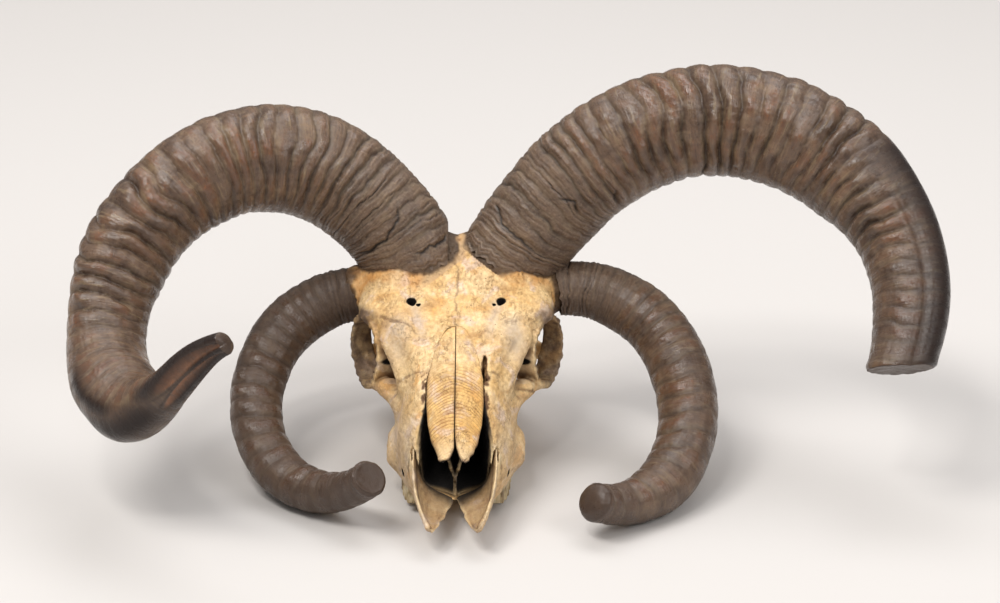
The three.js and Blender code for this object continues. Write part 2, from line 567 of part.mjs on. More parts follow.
// A nasal bone: a curved splint, side = +1 on the ram's left. The right one ends blunter.
function nasalGeometry(side, g) {
  const rings = NASAL.map(([y, wo, wi, z, drop], i) => {
    const ring = [];
    const blunt = side < 0 && i >= NASAL.length - 2 ? 1.6 : 0;
    const inner = side < 0 ? Math.max(0.3, wi - 1.2) : wi;
    const n = 5;
    const yy = y + (i === 0 ? g : 0) - (i === NASAL.length - 1 ? g : 0) + (side < 0 && i > 7 ? 1.5 : 0);
    for (let j = 0; j <= n; j++) {
      const u = j / n;
      ring.push(new THREE.Vector3(side * (inner - (j === 0 ? g : 0) + (wo + blunt - inner) * u + (j === n ? g : 0)), yy, z - drop * u * u + g));
    }
    for (let j = n; j >= 0; j--) {
      const u = j / n;
      ring.push(new THREE.Vector3(side * (inner - (j === 0 ? g : 0) + (wo + blunt - inner) * u + (j === n ? g : 0)), yy, z - drop * u * u - NASAL_THICK * (1 - 0.35 * u * u) - g));
    }
    return ring;
  });
  return capped(rings);
}
function capped(rings) {
  const middle = (ring) => ring.reduce((s, p) => s.add(p), new THREE.Vector3()).divideScalar(ring.length);
  return closedLoft(rings, middle(rings[0]), middle(rings[rings.length - 1]));
}
// A premaxilla: a curved plate, thick at its tip.
function premaxillaGeometry(side, g) {
  const rings = PREMAXILLA.map(([y, a, b, c, half], i) => {
    const curve = new THREE.CatmullRomCurve3([a, b, c].map(([px, pz]) => new THREE.Vector3(px, 0, pz)), false, 'centripetal');
    const n = 5;
    const up = [];
    const down = [];
    for (let j = 0; j <= n; j++) {
      const p = curve.getPoint(j / n);
      const t = curve.getTangent(j / n);
      const nx = -t.z, nz = t.x;
      const end = j === 0 ? -g : j === n ? g : 0;
      const h = half * (j === 0 || j === n ? 0.7 : 1) + g;
      const cx = p.x + t.x * end, cz = p.z + t.z * end;
      up.push(new THREE.Vector3(side * (cx + nx * h), 0, cz + nz * h));
      down.unshift(new THREE.Vector3(side * (cx - nx * h), 0, cz - nz * h));
    }
    const yy = y + (i === PREMAXILLA.length - 1 ? g : 0) - (i === 0 ? g : 0);
    return up.concat(down).map((p) => p.setY(yy));
  });
  return capped(rings);
}
// A cheek tooth: a two-lobed column from inside the jaw to its biting edge.
function toothGeometry(side, [y, x, length, width, edge], i) {
  const n = 8;
  const section = (grow) => {
    const ring = [];
    for (let j = 0; j < n; j++) {
      const a = (j / n) * 2 * Math.PI;
      const waist = i > 2 ? 1 - 0.16 * Math.exp(-((Math.cos(a) / 0.35) ** 2)) : 1;
      ring.push([Math.sign(Math.cos(a)) * Math.abs(Math.cos(a)) ** 0.7 * (length / 2 - 0.15 + grow),
        Math.sign(Math.sin(a)) * Math.abs(Math.sin(a)) ** 0.7 * (width / 2 + grow) * waist]);
    }
    return ring;
  };
  const levels = [[17, 0], [edge + 1.4, 0], [edge, -0.9]];
  const rings = levels.map(([z, grow]) => section(grow).map(([ly, lx]) => new THREE.Vector3(side * (x + lx), y + ly, z)));
  return capped(rings);
}
function hole(radius, length, at, towards) {
  const g = new THREE.CylinderGeometry(radius, radius, length, 8);
  const q = new THREE.Quaternion().setFromUnitVectors(new THREE.Vector3(0, 1, 0), new THREE.Vector3(...towards).normalize());
  g.applyQuaternion(q).translate(...at);
  return solid(g);
}

// ---------------------------------------------------------------- cranium
const raw = surfaceOf(craniumField, [-72, -112, -4], [72, 104, 146], CELL);
const slim = thinned(raw, CRANIUM_TRIS);
let cranium = largestPiece(solid(slim));

for (const side of [1, -1]) {
  TEETH.forEach((row, i) => { cranium = cranium.add(solid(toothGeometry(side, row, i))); });
}
// vomer: a thin upright plate on the floor of the nasal passage
const vomer = new THREE.BoxGeometry(1.8, 56, 16).translate(0, -68, 26);
cranium = cranium.add(solid(vomer));
for (const side of [1, -1]) {
  cranium = cranium.subtract(hole(SUPRAORBITAL.r, 16, [side * SUPRAORBITAL.x, SUPRAORBITAL.y + 2, SUPRAORBITAL.z - 3], [0, -0.35, 1]));
  cranium = cranium.subtract(hole(INFRAORBITAL.r, 14, [side * INFRAORBITAL.x, INFRAORBITAL.y + 2, INFRAORBITAL.z], [side * 0.55, -0.8, 0]));
  cranium = cranium.subtract(hole(2.8, 12, [side * 45, 66, 44], [side, 0.2, 0.25]));
  cranium = cranium.subtract(solid(nasalGeometry(side, GAP)));
  cranium = cranium.subtract(solid(premaxillaGeometry(side, GAP)));
}
for (const name of Object.keys(HORNS)) cranium = cranium.subtract(solid(hornGeometry(HORNS[name], GAP)));
cranium = largestPiece(cranium);
// the slivers that the cuts leave are collapsed
const cutBone = geometryOf(cranium);
cranium = solid(thinned(cutBone, (cutBone.index.count / 3) * (1 - SLIVER_SHARE)));

// ---------------------------------------------------------------- scene graph
const BONE = new THREE.MeshStandardMaterial({ color: 0xdcc08a, roughness: 0.72, metalness: 0 });
const HORN = new THREE.MeshStandardMaterial({ color: 0x5a4a40, roughness: 0.5, metalness: 0 });

const skull = new THREE.Group();
function place(name, geometry, material) {
  const mesh = new THREE.Mesh(geometry, material.clone());
  mesh.name = name;
  skull.add(mesh);
}
place('cranium', geometryOf(cranium), BONE);
// the roots of the lower horns stop short of the upper ones
const besideOf = { horn_lower_left: 'horn_upper_left', horn_lower_right: 'horn_upper_right' };
function sheath(name) {
  const whole = hornGeometry(HORNS[name], 0);
  if (!besideOf[name]) return whole;
  return geometryOf(largestPiece(solid(whole).subtract(solid(hornGeometry(HORNS[besideOf[name]], GAP)))));
}
place('nasal_bone_left', nasalGeometry(1, 0), BONE);
place('nasal_bone_right', nasalGeometry(-1, 0), BONE);
place('premaxilla_left', premaxillaGeometry(1, 0), BONE);
place('premaxilla_right', premaxillaGeometry(-1, 0), BONE);
for (const name of Object.keys(HORNS)) place(name, sheath(name), HORN);

const box = new THREE.Box3().setFromObject(skull, true);
skull.position.set(-(box.min.x + box.max.x) / 2, -(box.min.y + box.max.y) / 2, -box.min.z);

const model = new THREE.Group();
model.add(skull);
export default model;
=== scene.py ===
# Four-horned ram skull, life size, without its lower jaw: the visual model on the CAD frame.
# Tables are in millimetres in the skull's own coordinates: X = 0 on the midline (+X is the
# ram's left), Y = 0 at the orbits (-Y towards the muzzle), Z = 0 on the table.
import math
import bpy
import numpy as np
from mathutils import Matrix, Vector


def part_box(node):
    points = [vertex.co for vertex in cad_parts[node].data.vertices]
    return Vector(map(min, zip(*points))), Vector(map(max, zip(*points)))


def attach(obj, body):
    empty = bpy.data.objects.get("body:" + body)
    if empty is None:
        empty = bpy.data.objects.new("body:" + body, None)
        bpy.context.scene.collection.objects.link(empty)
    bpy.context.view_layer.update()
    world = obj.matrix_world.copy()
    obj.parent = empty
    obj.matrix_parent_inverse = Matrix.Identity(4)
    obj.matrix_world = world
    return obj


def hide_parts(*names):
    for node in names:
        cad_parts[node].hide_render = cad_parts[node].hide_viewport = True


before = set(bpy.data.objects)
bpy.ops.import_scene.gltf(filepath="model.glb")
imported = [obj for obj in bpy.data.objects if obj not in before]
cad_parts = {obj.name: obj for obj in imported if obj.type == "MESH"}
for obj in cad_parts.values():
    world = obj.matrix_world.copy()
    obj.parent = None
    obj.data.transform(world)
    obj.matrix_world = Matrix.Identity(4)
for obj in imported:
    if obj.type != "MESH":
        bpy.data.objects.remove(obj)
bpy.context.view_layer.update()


# ------------------------------------------------------------------ where the skull stands
PREMAX_FRONT = -139.0
box_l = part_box("premaxilla_left")
box_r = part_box("premaxilla_right")
ORIGIN = np.array([
    (box_l[1][0] + box_r[0][0]) / 2,
    box_l[0][1] - PREMAX_FRONT / 1000,
    0.0,
])


# ------------------------------------------------------------------ node trees
def srgb(*rgb):
    """A colour from three numbers of 0 to 255, in linear light and with alpha."""
    parts = [v / 255 for v in rgb]
    return (*(v / 12.92 if v <= 0.04045 else ((v + 0.055) / 1.055) ** 2.4 for v in parts), 1)


class Graph:
    """A material and a few short ways to build its node tree."""

    def __init__(self, name):
        self.mat = bpy.data.materials.new(name)
        self.mat.use_nodes = True
        self.tree = self.mat.node_tree
        self.tree.nodes.clear()
        self.bsdf = self.node("ShaderNodeBsdfPrincipled")
        out = self.node("ShaderNodeOutputMaterial")
        self.tree.links.new(self.bsdf.outputs[0], out.inputs[0])

    def put(self, socket_shade, value):
        if isinstance(value, bpy.types.NodeSocket):
            self.tree.links.new(value, socket_shade)
        else:
            socket_shade.default_value = value

    def node(self, kind, inputs=None, **settings):
        """A new node; each of its inputs is linked to a socket or set to a value."""
        made = self.tree.nodes.new(kind)
        for key, value in settings.items():
            setattr(made, key, value)
        for key, value in (inputs or {}).items():
            self.put(made.inputs[key], value)
        return made

    def surface(self, **values):
        """Inputs of the shader, with _ for the spaces in their names."""
        for key, value in values.items():
            self.put(self.bsdf.inputs[key.replace("_", " ")], value)

    def layer(self, name, vector=False):
        made = self.node("ShaderNodeAttribute", attribute_type="GEOMETRY", attribute_name=name)
        return made.outputs["Vector" if vector else "Fac"]

    def place(self):
        """Object coordinates in millimetres."""
        return self.stretch(self.node("ShaderNodeTexCoord").outputs["Object"], (1000, 1000, 1000))

    def stretch(self, vector, scale):
        return self.node("ShaderNodeMapping", {"Vector": vector, "Scale": scale}).outputs[0]

    def noise(self, vector, size, detail=4.0, rough=0.55, distort=0.0):
        made = self.node("ShaderNodeTexNoise", {
            "Vector": vector, "Scale": 1.0 / size, "Detail": detail, "Roughness": rough,
            "Distortion": distort})
        return made.outputs["Fac"]

    def cells(self, vector, size):
        made = self.node("ShaderNodeTexVoronoi", {"Vector": vector, "Scale": 1.0 / size})
        return made.outputs["Distance"]

    def spread(self, value, low, high, to_low=0.0, to_high=1.0):
        made = self.node("ShaderNodeMapRange", {
            "Value": value, "From Min": low, "From Max": high, "To Min": to_low, "To Max": to_high,
        }, interpolation_type="SMOOTHSTEP")
        return made.outputs["Result"]

    def math(self, how, a, b=0.0):
        return self.node("ShaderNodeMath", {0: a, 1: b}, operation=how).outputs[0]

    def times(self, a, b):
        return self.math("MULTIPLY", a, b)

    def add(self, a, b):
        return self.math("ADD", a, b)

    def ramp(self, value, *stops):
        """A colour ramp; each stop is its place, then red, green and blue."""
        made = self.node("ShaderNodeValToRGB", {"Fac": value})
        elements = made.color_ramp.elements
        for k in (0, -1):
            elements[k].position, elements[k].color = stops[k][0], srgb(*stops[k][1:])
        for at, *rgb in stops[1:-1]:
            elements.new(at).color = srgb(*rgb)
        return made.outputs["Color"]

    def mix(self, amount, a, b):
        return self.node("ShaderNodeMix", {0: amount, 6: a, 7: b}, data_type="RGBA").outputs[2]

    def coat(self, rgb, amount, *factors):
        """Lays a colour over the one so far, by an amount times any factors."""
        for factor in factors:
            amount = self.times(amount, factor)
        self.colour = self.mix(amount, self.colour, srgb(*rgb))

    def bump(self, height, strength, distance, **below):
        made = self.node("ShaderNodeBump", {
            "Height": height, "Strength": strength, "Distance": distance, **below})
        return made.outputs[0]


# ------------------------------------------------------------------ camera, floor and light
ELEVATION = math.radians(22.0)
DISTANCE = 1.9
TARGET = Vector((0.027 + ORIGIN[0], ORIGIN[1], 0.106))
FOCAL_PX = 3078.0
IMAGE_W = 1000.0
SENSOR = 36.0
FLOOR_HALF = 8.0


def placed(name, data):
    made = bpy.data.objects.new(name, data)
    bpy.context.collection.objects.link(made)
    return made


cam_data = bpy.data.cameras.new("camera")
cam_data.sensor_width = SENSOR
cam_data.lens = FOCAL_PX / IMAGE_W * SENSOR
cam_data.clip_end = 50.0
camera = placed("camera", cam_data)
towards = Vector((0.0, -math.cos(ELEVATION), math.sin(ELEVATION)))
camera.location = TARGET + towards * DISTANCE
camera.rotation_euler = towards.to_track_quat("Z", "Y").to_euler()
bpy.context.scene.camera = camera

paper = Graph("floor_paper")
paper.surface(Base_Color=(0.615, 0.588, 0.568, 1), Roughness=0.9, Specular_IOR_Level=0.1)
floor_mesh = bpy.data.meshes.new("floor")
floor_mesh.from_pydata(
    [(i * FLOOR_HALF, j * FLOOR_HALF, 0) for i, j in ((-1, -1), (1, -1), (1, 1), (-1, 1))],
    [], [(0, 1, 2, 3)])
floor_mesh.materials.append(paper.mat)
floor = placed("floor", floor_mesh)

world = bpy.data.worlds.new("studio")
bpy.context.scene.world = world
world.use_nodes = True
sky = world.node_tree
sky_place = sky.nodes.new("ShaderNodeTexCoord")
sky_split = sky.nodes.new("ShaderNodeSeparateXYZ")
sky_ramp = sky.nodes.new("ShaderNodeMapRange")
sky.links.new(sky_place.outputs["Generated"], sky_split.inputs[0])
sky.links.new(sky_split.outputs["Z"], sky_ramp.inputs["Value"])
sky_ramp.inputs["To Min"].default_value = 0.10
sky_ramp.inputs["To Max"].default_value = 0.86
sky.links.new(sky_ramp.outputs["Result"], sky.nodes["Background"].inputs[1])
sky.nodes["Background"].inputs[0].default_value = (1.0, 0.985, 0.97, 1)
bpy.context.scene.view_settings.view_transform = "Standard"


def area_light(name, at, size, power, aim, colour=(1, 1, 1)):
    data = bpy.data.lights.new(name, "AREA")
    data.shape = "RECTANGLE"
    data.size = size[0]
    data.size_y = size[1]
    data.energy = power
    data.color = colour
    lamp = placed(name, data)
    lamp.location = at
    lamp.rotation_euler = (Vector(at) - Vector(aim)).to_track_quat("Z", "Y").to_euler()


AIM = (0.0, 0.0, 0.1)
area_light("key", (-1.3, -0.9, 2.8), (1.25, 1.0), 48, AIM, (1.0, 0.98, 0.95))
area_light("gloss", (-0.5, -1.4, 2.4), (0.34, 0.34), 12, AIM, (1.0, 0.99, 0.97))
area_light("fill", (1.7, -1.5, 1.7), (1.3, 1.3), 23, AIM)
area_light("top", (0.2, 0.7, 1.8), (1.6, 0.8), 14, AIM, (0.97, 0.98, 1.0))


# ------------------------------------------------------------------ noise
CORNERS = [(i, j, k) for i in (0, 1) for j in (0, 1) for k in (0, 1)]
AROUND = [(i, j, k) for i in (-1, 0, 1) for j in (-1, 0, 1) for k in (-1, 0, 1)]


def cell_hash(ix, iy, iz, seed):
    h = ix.astype(np.int64) * 374761393 + iy.astype(np.int64) * 668265263
    h = h + iz.astype(np.int64) * 1274126177 + seed * 1013904223
    h = (h & 0xFFFFFFFF).astype(np.uint32)
    h = (h ^ (h >> np.uint32(13))) * np.uint32(1274126177)
    h = (h ^ (h >> np.uint32(16))) * np.uint32(2246822519)
    h = (h ^ (h >> np.uint32(15))) & np.uint32(0xFFFFFF)
    return h.astype(np.float32) / np.float32(0xFFFFFF)


def noise(x, y, z, scale, seed=0):
    """Smooth noise from -1 to 1; scale is the size of its cells, one number or one per axis."""
    sx, sy, sz = scale if isinstance(scale, tuple) else (scale, scale, scale)
    x, y, z = x / sx, y / sy, z / sz
    ix, iy, iz = np.floor(x), np.floor(y), np.floor(z)
    weights = []
    for f in (x - ix, y - iy, z - iz):
        u = f * f * (3 - 2 * f)
        weights.append((1 - u, u))
    wx, wy, wz = weights
    total = 0.0
    for i, j, k in CORNERS:
        total = total + wx[i] * wy[j] * wz[k] * cell_hash(ix + i, iy + j, iz + k, seed)
    return total * 2 - 1


def fbm(x, y, z, scale, octaves, seed=0):
    total, gain, norm = 0.0, 1.0, 0.0
    for k in range(octaves):
        total = total + gain * noise(x, y, z, scale / 2 ** k, seed + 17 * k)
        norm += gain
        gain *= 0.55
    return total / norm


def speckle(x, y, z, size, density, seed=0):
    """Depth from 0 to 1 of round pits of about the size given, in a share of the cells."""
    cx, cy, cz = np.floor(x / size), np.floor(y / size), np.floor(z / size)
    best = np.zeros_like(x)
    for i, j, k in AROUND:
        cell = (cx + i, cy + j, cz + k)
        square = 0.0
        for n, (c, v) in enumerate(zip(cell, (x, y, z))):
            p = (c + 0.2 + 0.6 * cell_hash(*cell, seed + 1 + n)) * size - v
            square = square + p * p
        r = size * (0.22 + 0.3 * cell_hash(*cell, seed + 4))
        depth = np.clip(1 - square / (r * r), 0, 1)
        best = np.maximum(best, np.where(cell_hash(*cell, seed) < density, depth, 0))
    return best


def bell(d, width):
    return np.exp(-(d / width) ** 2)


def step01(v, lo, hi):
    u = np.clip((v - lo) / (hi - lo), 0, 1)
    return u * u * (3 - 2 * u)


# ------------------------------------------------------------------ bone as a distance field
ORBIT = dict(x=57.0, y=0.0, z=73.0, ring=20.4, wall=3.1, turn=24.0, depth=30.0)
# Rows for block(): y, bottom, top, then the half width at the bottom, the middle and the top.
MUZZLE = [
    (-98, 14, 37, 17, 23.5, 20.5), (-87, 11, 52, 24, 28.5, 23), (-76, 11, 66, 28, 32, 20),
    (-62, 12, 75.5, 33, 35, 21), (-48, 13, 82, 35.5, 35.2, 23), (-34, 14, 89, 34, 34.5, 27),
    (-20, 16, 95, 27, 34, 38), (-8, 20, 99, 18, 24, 42),
]
PASSAGE = [
    (-160, 21, 70, 25, 25, 25), (-104, 20.5, 66, 20, 22, 24), (-90, 21, 68, 19, 21.5, 21.5),
    (-76, 21.5, 72, 17, 19, 16.5), (-57, 22, 79, 15, 16, 13), (-33, 25, 86, 12, 12, 9),
]
FRONTAL = [
    (-24, 84, 96.5, 26, 32, 30), (-12, 84, 102, 40, 46, 38), (0, 86, 106.5, 52, 59, 45),
    (14, 85, 112.5, 52, 61, 45), (28, 82, 121, 48, 57, 40), (43, 78, 131, 42, 48, 34),
    (56, 74, 128, 38, 41, 30), (74, 72, 104, 28, 34, 20),
]
CORE = [
    (-14, 24, 88, 17, 24, 30), (4, 33, 90, 12, 18, 26), (22, 36, 95, 17, 24, 30),
    (38, 36, 98, 24, 32, 34),
]
OCCIPUT = [(62, 30, 100, 30, 34, 26), (76, 29, 94, 29, 34, 24), (85, 29, 84, 22, 25, 14)]
# Where each limb starts and ends, its radius at each, and how softly it joins the rest.
LIMBS = {
    "facial_tuber": ((36, -55, 26), (36.5, -42, 33), 6, 5, 9),
    "zygomatic_front": ((31, -38, 50), (42, -22, 57), 6, 5, 8),
    "zygomatic_body": ((42, -22, 57), (55, -2, 54), 4.6, 3.8, 6),
    "zygomatic_arch": ((55, -2, 54), (58, 36, 56), 3.8, 3.8, 5),
    "zygomatic_root": ((58, 36, 56), (37, 60, 52), 4, 7, 8),
    "glenoid": ((26, 46, 45), (46, 50, 52), 8, 5.5, 8),
    "boss_upper": ((19, 38, 92), (28, 47, 111), 24, 27, 14),
    "boss_lower": ((34, 36, 88), (62, 42.5, 98.5), 19, 14, 12),
    "paraoccipital": ((30, 75, 40), (32, 82, 3.6), 8, 3.6, 8),
    "paraoccipital_web": ((27, 66, 36), (31.5, 77, 16), 6, 3.4, 8),
    "bulla": ((23, 52, 31), (23, 62, 29), 8.5, 8.5, 5),
    "meatus": ((26, 61, 38), (43, 65, 44), 6.5, 5, 6),
    "mastoid": ((33, 70, 62), (34, 74, 38), 8, 6, 8),
    "nuchal_crest": ((2, 83, 90), (33, 76, 74), 4.5, 4.5, 8),
    "condyle": ((11, 88, 24), (18, 86, 36), 8, 9.5, 5),
    "basioccipital": ((0, 84, 25), (0, 32, 38), 9.5, 8.5, 6),
    "lacrimal_ridge": ((30, -38, 66), (43, -17, 88), 4, 4, 9),
}
# y, outer edge, inner edge, height of the ridge, drop of the outer edge
NASAL = [
    (-21, 5, 0.3, 98, 1), (-29, 9.5, 0.3, 95, 2.2), (-39, 13, 0.3, 90.8, 3.6),
    (-55.5, 16.8, 0.3, 83.2, 5.2), (-72, 17.2, 0.3, 75.2, 6), (-85, 16.2, 0.3, 68.2, 6.6),
    (-97.5, 13.6, 0.3, 61.2, 6), (-106, 10.8, 1.2, 56.6, 4.4), (-111.5, 8.4, 3, 53.6, 2.8),
    (-114.5, 6.6, 4.4, 52, 1.4),
]
NASAL_THICK = 3.0


def smin(a, b, k):
    h = np.maximum(k - np.abs(a - b), 0) / k
    return np.minimum(a, b) - h * h * k * 0.25


def smax(a, b, k):
    return -smin(-a, -b, k)


def limb(x, y, z, a, b, ra, rb):
    bx, by, bz = b[0] - a[0], b[1] - a[1], b[2] - a[2]
    px, py, pz = x - a[0], y - a[1], z - a[2]
    t = np.clip((px * bx + py * by + pz * bz) / (bx * bx + by * by + bz * bz), 0, 1)
    d = np.sqrt((px - bx * t) ** 2 + (py - by * t) ** 2 + (pz - bz * t) ** 2)
    return d - (ra + (rb - ra) * t)


def egg(x, y, z, c, r):
    qx, qy, qz = (x - c[0]) / r[0], (y - c[1]) / r[1], (z - c[2]) / r[2]
    k0 = np.sqrt(qx * qx + qy * qy + qz * qz)
    k1 = np.sqrt((qx / r[0]) ** 2 + (qy / r[1]) ** 2 + (qz / r[2]) ** 2)
    return k0 * (k0 - 1) / np.maximum(k1, 1e-6)


def read_rows(rows, y, columns, sign=1):
    """Columns of a table at y; sign is -1 for a table whose rows run towards the muzzle."""
    at = [sign * r[0] for r in rows]
    return [np.interp(sign * y, at, [r[k] for r in rows]) for k in columns]


def block(x, y, z, rows, rnd):
    """A bar along y with a width that changes with the height, its edges rounded."""
    ys = np.array([r[0] for r in rows], float)
    zb, zt, wb, wm, wt = read_rows(rows, y, range(1, 6))
    v = np.clip((z - zb) / (zt - zb), 0, 1)
    w = wb * (1 - v) * (1 - 2 * v) + wm * 4 * v * (1 - v) + wt * v * (2 * v - 1)
    qx = np.abs(x) - w + rnd
    qz = np.abs(z - (zb + zt) / 2) - (zt - zb) / 2 + rnd
    qy = np.maximum(ys[0] - y, y - ys[-1]) + rnd
    outer = np.sqrt(np.maximum(qx, 0) ** 2 + np.maximum(qy, 0) ** 2 + np.maximum(qz, 0) ** 2)
    return outer + np.minimum(np.maximum(np.maximum(qx, qy), qz), 0) - rnd


ORBIT_TURN = math.radians(ORBIT["turn"])
ORBIT_AXIS = np.array([math.cos(ORBIT_TURN), -math.sin(ORBIT_TURN), 0.06])
ORBIT_AXIS = ORBIT_AXIS / np.linalg.norm(ORBIT_AXIS)
# y, x, length, width, height of the biting edge
TEETH = [
    (-77, 25.6, 8, 8, 6.5), (-68, 26.6, 9.2, 9.6, 4.5), (-57.7, 27.2, 10.6, 11, 2.8),
    (-45.6, 27.4, 13, 12, 1.4), (-31.2, 27.6, 15, 12.6, 0), (-15.2, 27, 16.4, 12, 0),
]
# y, then x and z of the outer edge, of the bend and of the inner edge, then half the thickness
PREMAXILLA = [
    (-139, 15.4, 20, 14.4, 18, 12.4, 17, 1.9), (-135.5, 17.2, 22, 15.2, 18.4, 11.2, 16.6, 1.7),
    (-128, 20, 26, 16.6, 19, 9, 16.2, 1.5), (-118, 22.8, 31, 18, 20.2, 6, 16.4, 1.4),
    (-107, 24.4, 36, 18, 21.8, 3, 17, 1.4), (-96, 25, 41, 18, 23.5, 1.6, 17.6, 1.4),
    (-86, 24.8, 45.5, 22.2, 29, 19.5, 22.5, 1.3),
]


def orbit_frame(x, y, z):
    px, py, pz = x - ORBIT["x"], y - ORBIT["y"], z - ORBIT["z"]
    s = px * ORBIT_AXIS[0] + py * ORBIT_AXIS[1] + pz * ORBIT_AXIS[2]
    r = np.sqrt(np.maximum(px * px + py * py + pz * pz - s * s, 0))
    return s, r


def orbit_angle(x, y, z):
    """Angle round the orbit: 0 towards the muzzle, a quarter turn at the top."""
    return np.arctan2(z - ORBIT["z"], -(y - ORBIT["y"]) - 0.45 * (x - ORBIT["x"]))


def nasal_sheet(x, y):
    """Height of a nasal bone's top over a point, its outer edge and its inner edge."""
    wo, wi, ridge, drop = read_rows(NASAL, y, range(1, 5), -1)
    u = np.clip((np.abs(x) - wi) / np.maximum(wo - wi, 0.1), 0, 1.3)
    return ridge - drop * u * u, wo, wi, u


def nasal_body(x, y, z, grow):
    top, wo, wi, u = nasal_sheet(x, y)
    thick = NASAL_THICK * (1 - 0.35 * np.clip(u, 0, 1) ** 2)
    ax = np.abs(x)
    d = np.maximum(np.abs(z - top + thick / 2) - thick / 2, ax - wo)
    d = np.maximum(d, np.maximum(y - NASAL[0][0], NASAL[-1][0] - y))
    return d - grow


def plate_body(x, y, z, grow):
    x0, z0, x1, z1, x2, z2, half = read_rows(PREMAXILLA, y, range(1, 8))
    ax = np.abs(x)
    d = 1e3
    for ux, uz, vx, vz in ((x0, z0, x1, z1), (x1, z1, x2, z2)):
        ex, ez = vx - ux, vz - uz
        t = np.clip(((ax - ux) * ex + (z - uz) * ez) / (ex * ex + ez * ez), 0, 1)
        d = np.minimum(d, np.hypot(ax - ux - ex * t, z - uz - ez * t))
    return np.maximum(d - half, np.maximum(y - PREMAXILLA[-1][0], PREMAXILLA[0][0] - y)) - grow


def cranium_base(x, y, z):
    """The bone on one side of the midline (x >= 0), as in the CAD model."""
    d = block(x, y, z, MUZZLE, 5)
    d = smin(d, block(x, y, z, FRONTAL, 6), 9)
    d = smin(d, block(x, y, z, CORE, 6), 8)
    d = smin(d, egg(x, y, z, (0, 49, 67), (36, 36, 35)), 8)
    d = smin(d, block(x, y, z, OCCIPUT, 7), 8)
    for a, b, ra, rb, k in LIMBS.values():
        d = smin(d, limb(x, y, z, a, b, ra, rb), k)
    # upright plate behind the palate
    plate = np.maximum(np.abs(x - 13 - (y - 8) * 0.04) - 2.3, np.abs(y - 9) - 17)
    plate = np.maximum(plate, np.maximum(16 + (y + 8) * 0.45 - z, z - 44))
    d = smin(d, plate, 4)
    s, r = orbit_frame(x, y, z)
    turn = orbit_angle(x, y, z)
    rough = 0.55 * np.sin(turn * 9 + 1.2) * np.sin(turn * 4.3) + 0.35 * np.sin(turn * 23)
    half_wall = ORBIT["wall"] / 2
    tube = np.abs(r - ORBIT["ring"] - half_wall + 0.8 - 0.35 * rough) - half_wall - 0.3
    tube = np.maximum(tube, np.abs(s + 7 - 0.5 * rough) - 7.5 - 0.4 * rough)
    funnel = np.maximum(r - (ORBIT["ring"] - 0.6) - np.minimum(0, s) * 0.28, -(s + ORBIT["depth"]))
    d = smax(d, -np.maximum(funnel, y - 60), 3)
    d = smin(d, tube, 2.2)
    d = smax(d, -limb(x, y, z, (46, 28, 82), (45, 35, 48), 8.5, 9.5), 5)
    d = smax(d, -egg(x, y, z, (0, -58, 4), (19.5, 74, 13.5)), 3)
    d = smax(d, -block(x, y, z, PASSAGE, 4), 1.2)
    d = smax(d, -limb(x, y, z, (0, 104, 40), (0, 70, 45), 9.5, 8), 2)
    return d


def tooth_body(x, y, z):
    """Cheek teeth of one side: lobed columns with a sloping, cusped biting face."""
    d = 1e3
    for i, (ty, tx, length, width, edge) in enumerate(TEETH):
        ly = (y - ty) / (length / 2 - 0.15)
        lobes = 1.5 if i > 2 else 0.8
        waist = 1 - (0.14 if i > 2 else 0.03) * bell(ly, 0.32)
        buccal = 0.5 * np.cos(ly * lobes * math.pi * 1.6)
        qx = np.abs(x - tx - 0.25 * buccal) - (width / 2) * waist + 1.4
        qy = np.abs(y - ty) - length / 2 + 0.15 + 1.2
        side = np.sqrt(np.maximum(qx, 0) ** 2 + np.maximum(qy, 0) ** 2)
        side = side + np.minimum(np.maximum(qx, qy), 0) - 1.3
        groove = 0.7 * bell(x - tx - 1.2, 1.1) + 0.5 * bell(x - tx + 2.6, 0.8)
        bite = edge + 0.05 + groove * bell(ly, 0.75) - z
        col = smax(side, np.maximum(bite, z - 17), 1.1)
        d = np.minimum(d, col)
    return d


def vomer_body(x, y, z):
    """Upright plate on the floor of the passage, forked along its top."""
    ax = np.abs(x)
    stem = np.maximum(ax - 1.2, z - 33)
    arm = np.maximum(np.abs(ax - 0.32 * (z - 31) - 0.3) - 1.05, np.maximum(z - 46, 31 - z))
    d = np.minimum(stem, arm)
    return np.maximum(d, np.maximum(np.maximum(-97 - y, y + 38), 17 - z))


def bone_symmetric(x, y, z):
    d = cranium_base(x, y, z)
    d = smin(d, tooth_body(x, y, z), 1.2)
    return np.minimum(d, vomer_body(x, y, z))


FORAMINA = [
    # from, to, radius at each: supraorbital with its satellite, infraorbital, ear, mental pits
    ((27.8, 0, 107), (27.8, 3, 96), 2.5, 1.7), ((23.2, -2, 104), (24, 0, 98), 1.2, 0.8),
    ((31, -75, 25), (27, -68, 25), 2.3, 1.6), ((47, 66.5, 45), (38, 65, 42), 2.9, 2.4),
    ((46, -24, 74), (38, -14, 73), 1.9, 1.5), ((33, -40, 60), (30, -37, 59), 0.9, 0.7),
    ((14, 62, 118), (13, 61, 112), 1.1, 0.8), ((30, 82, 66), (28, 78, 66), 1.4, 1.0),
]


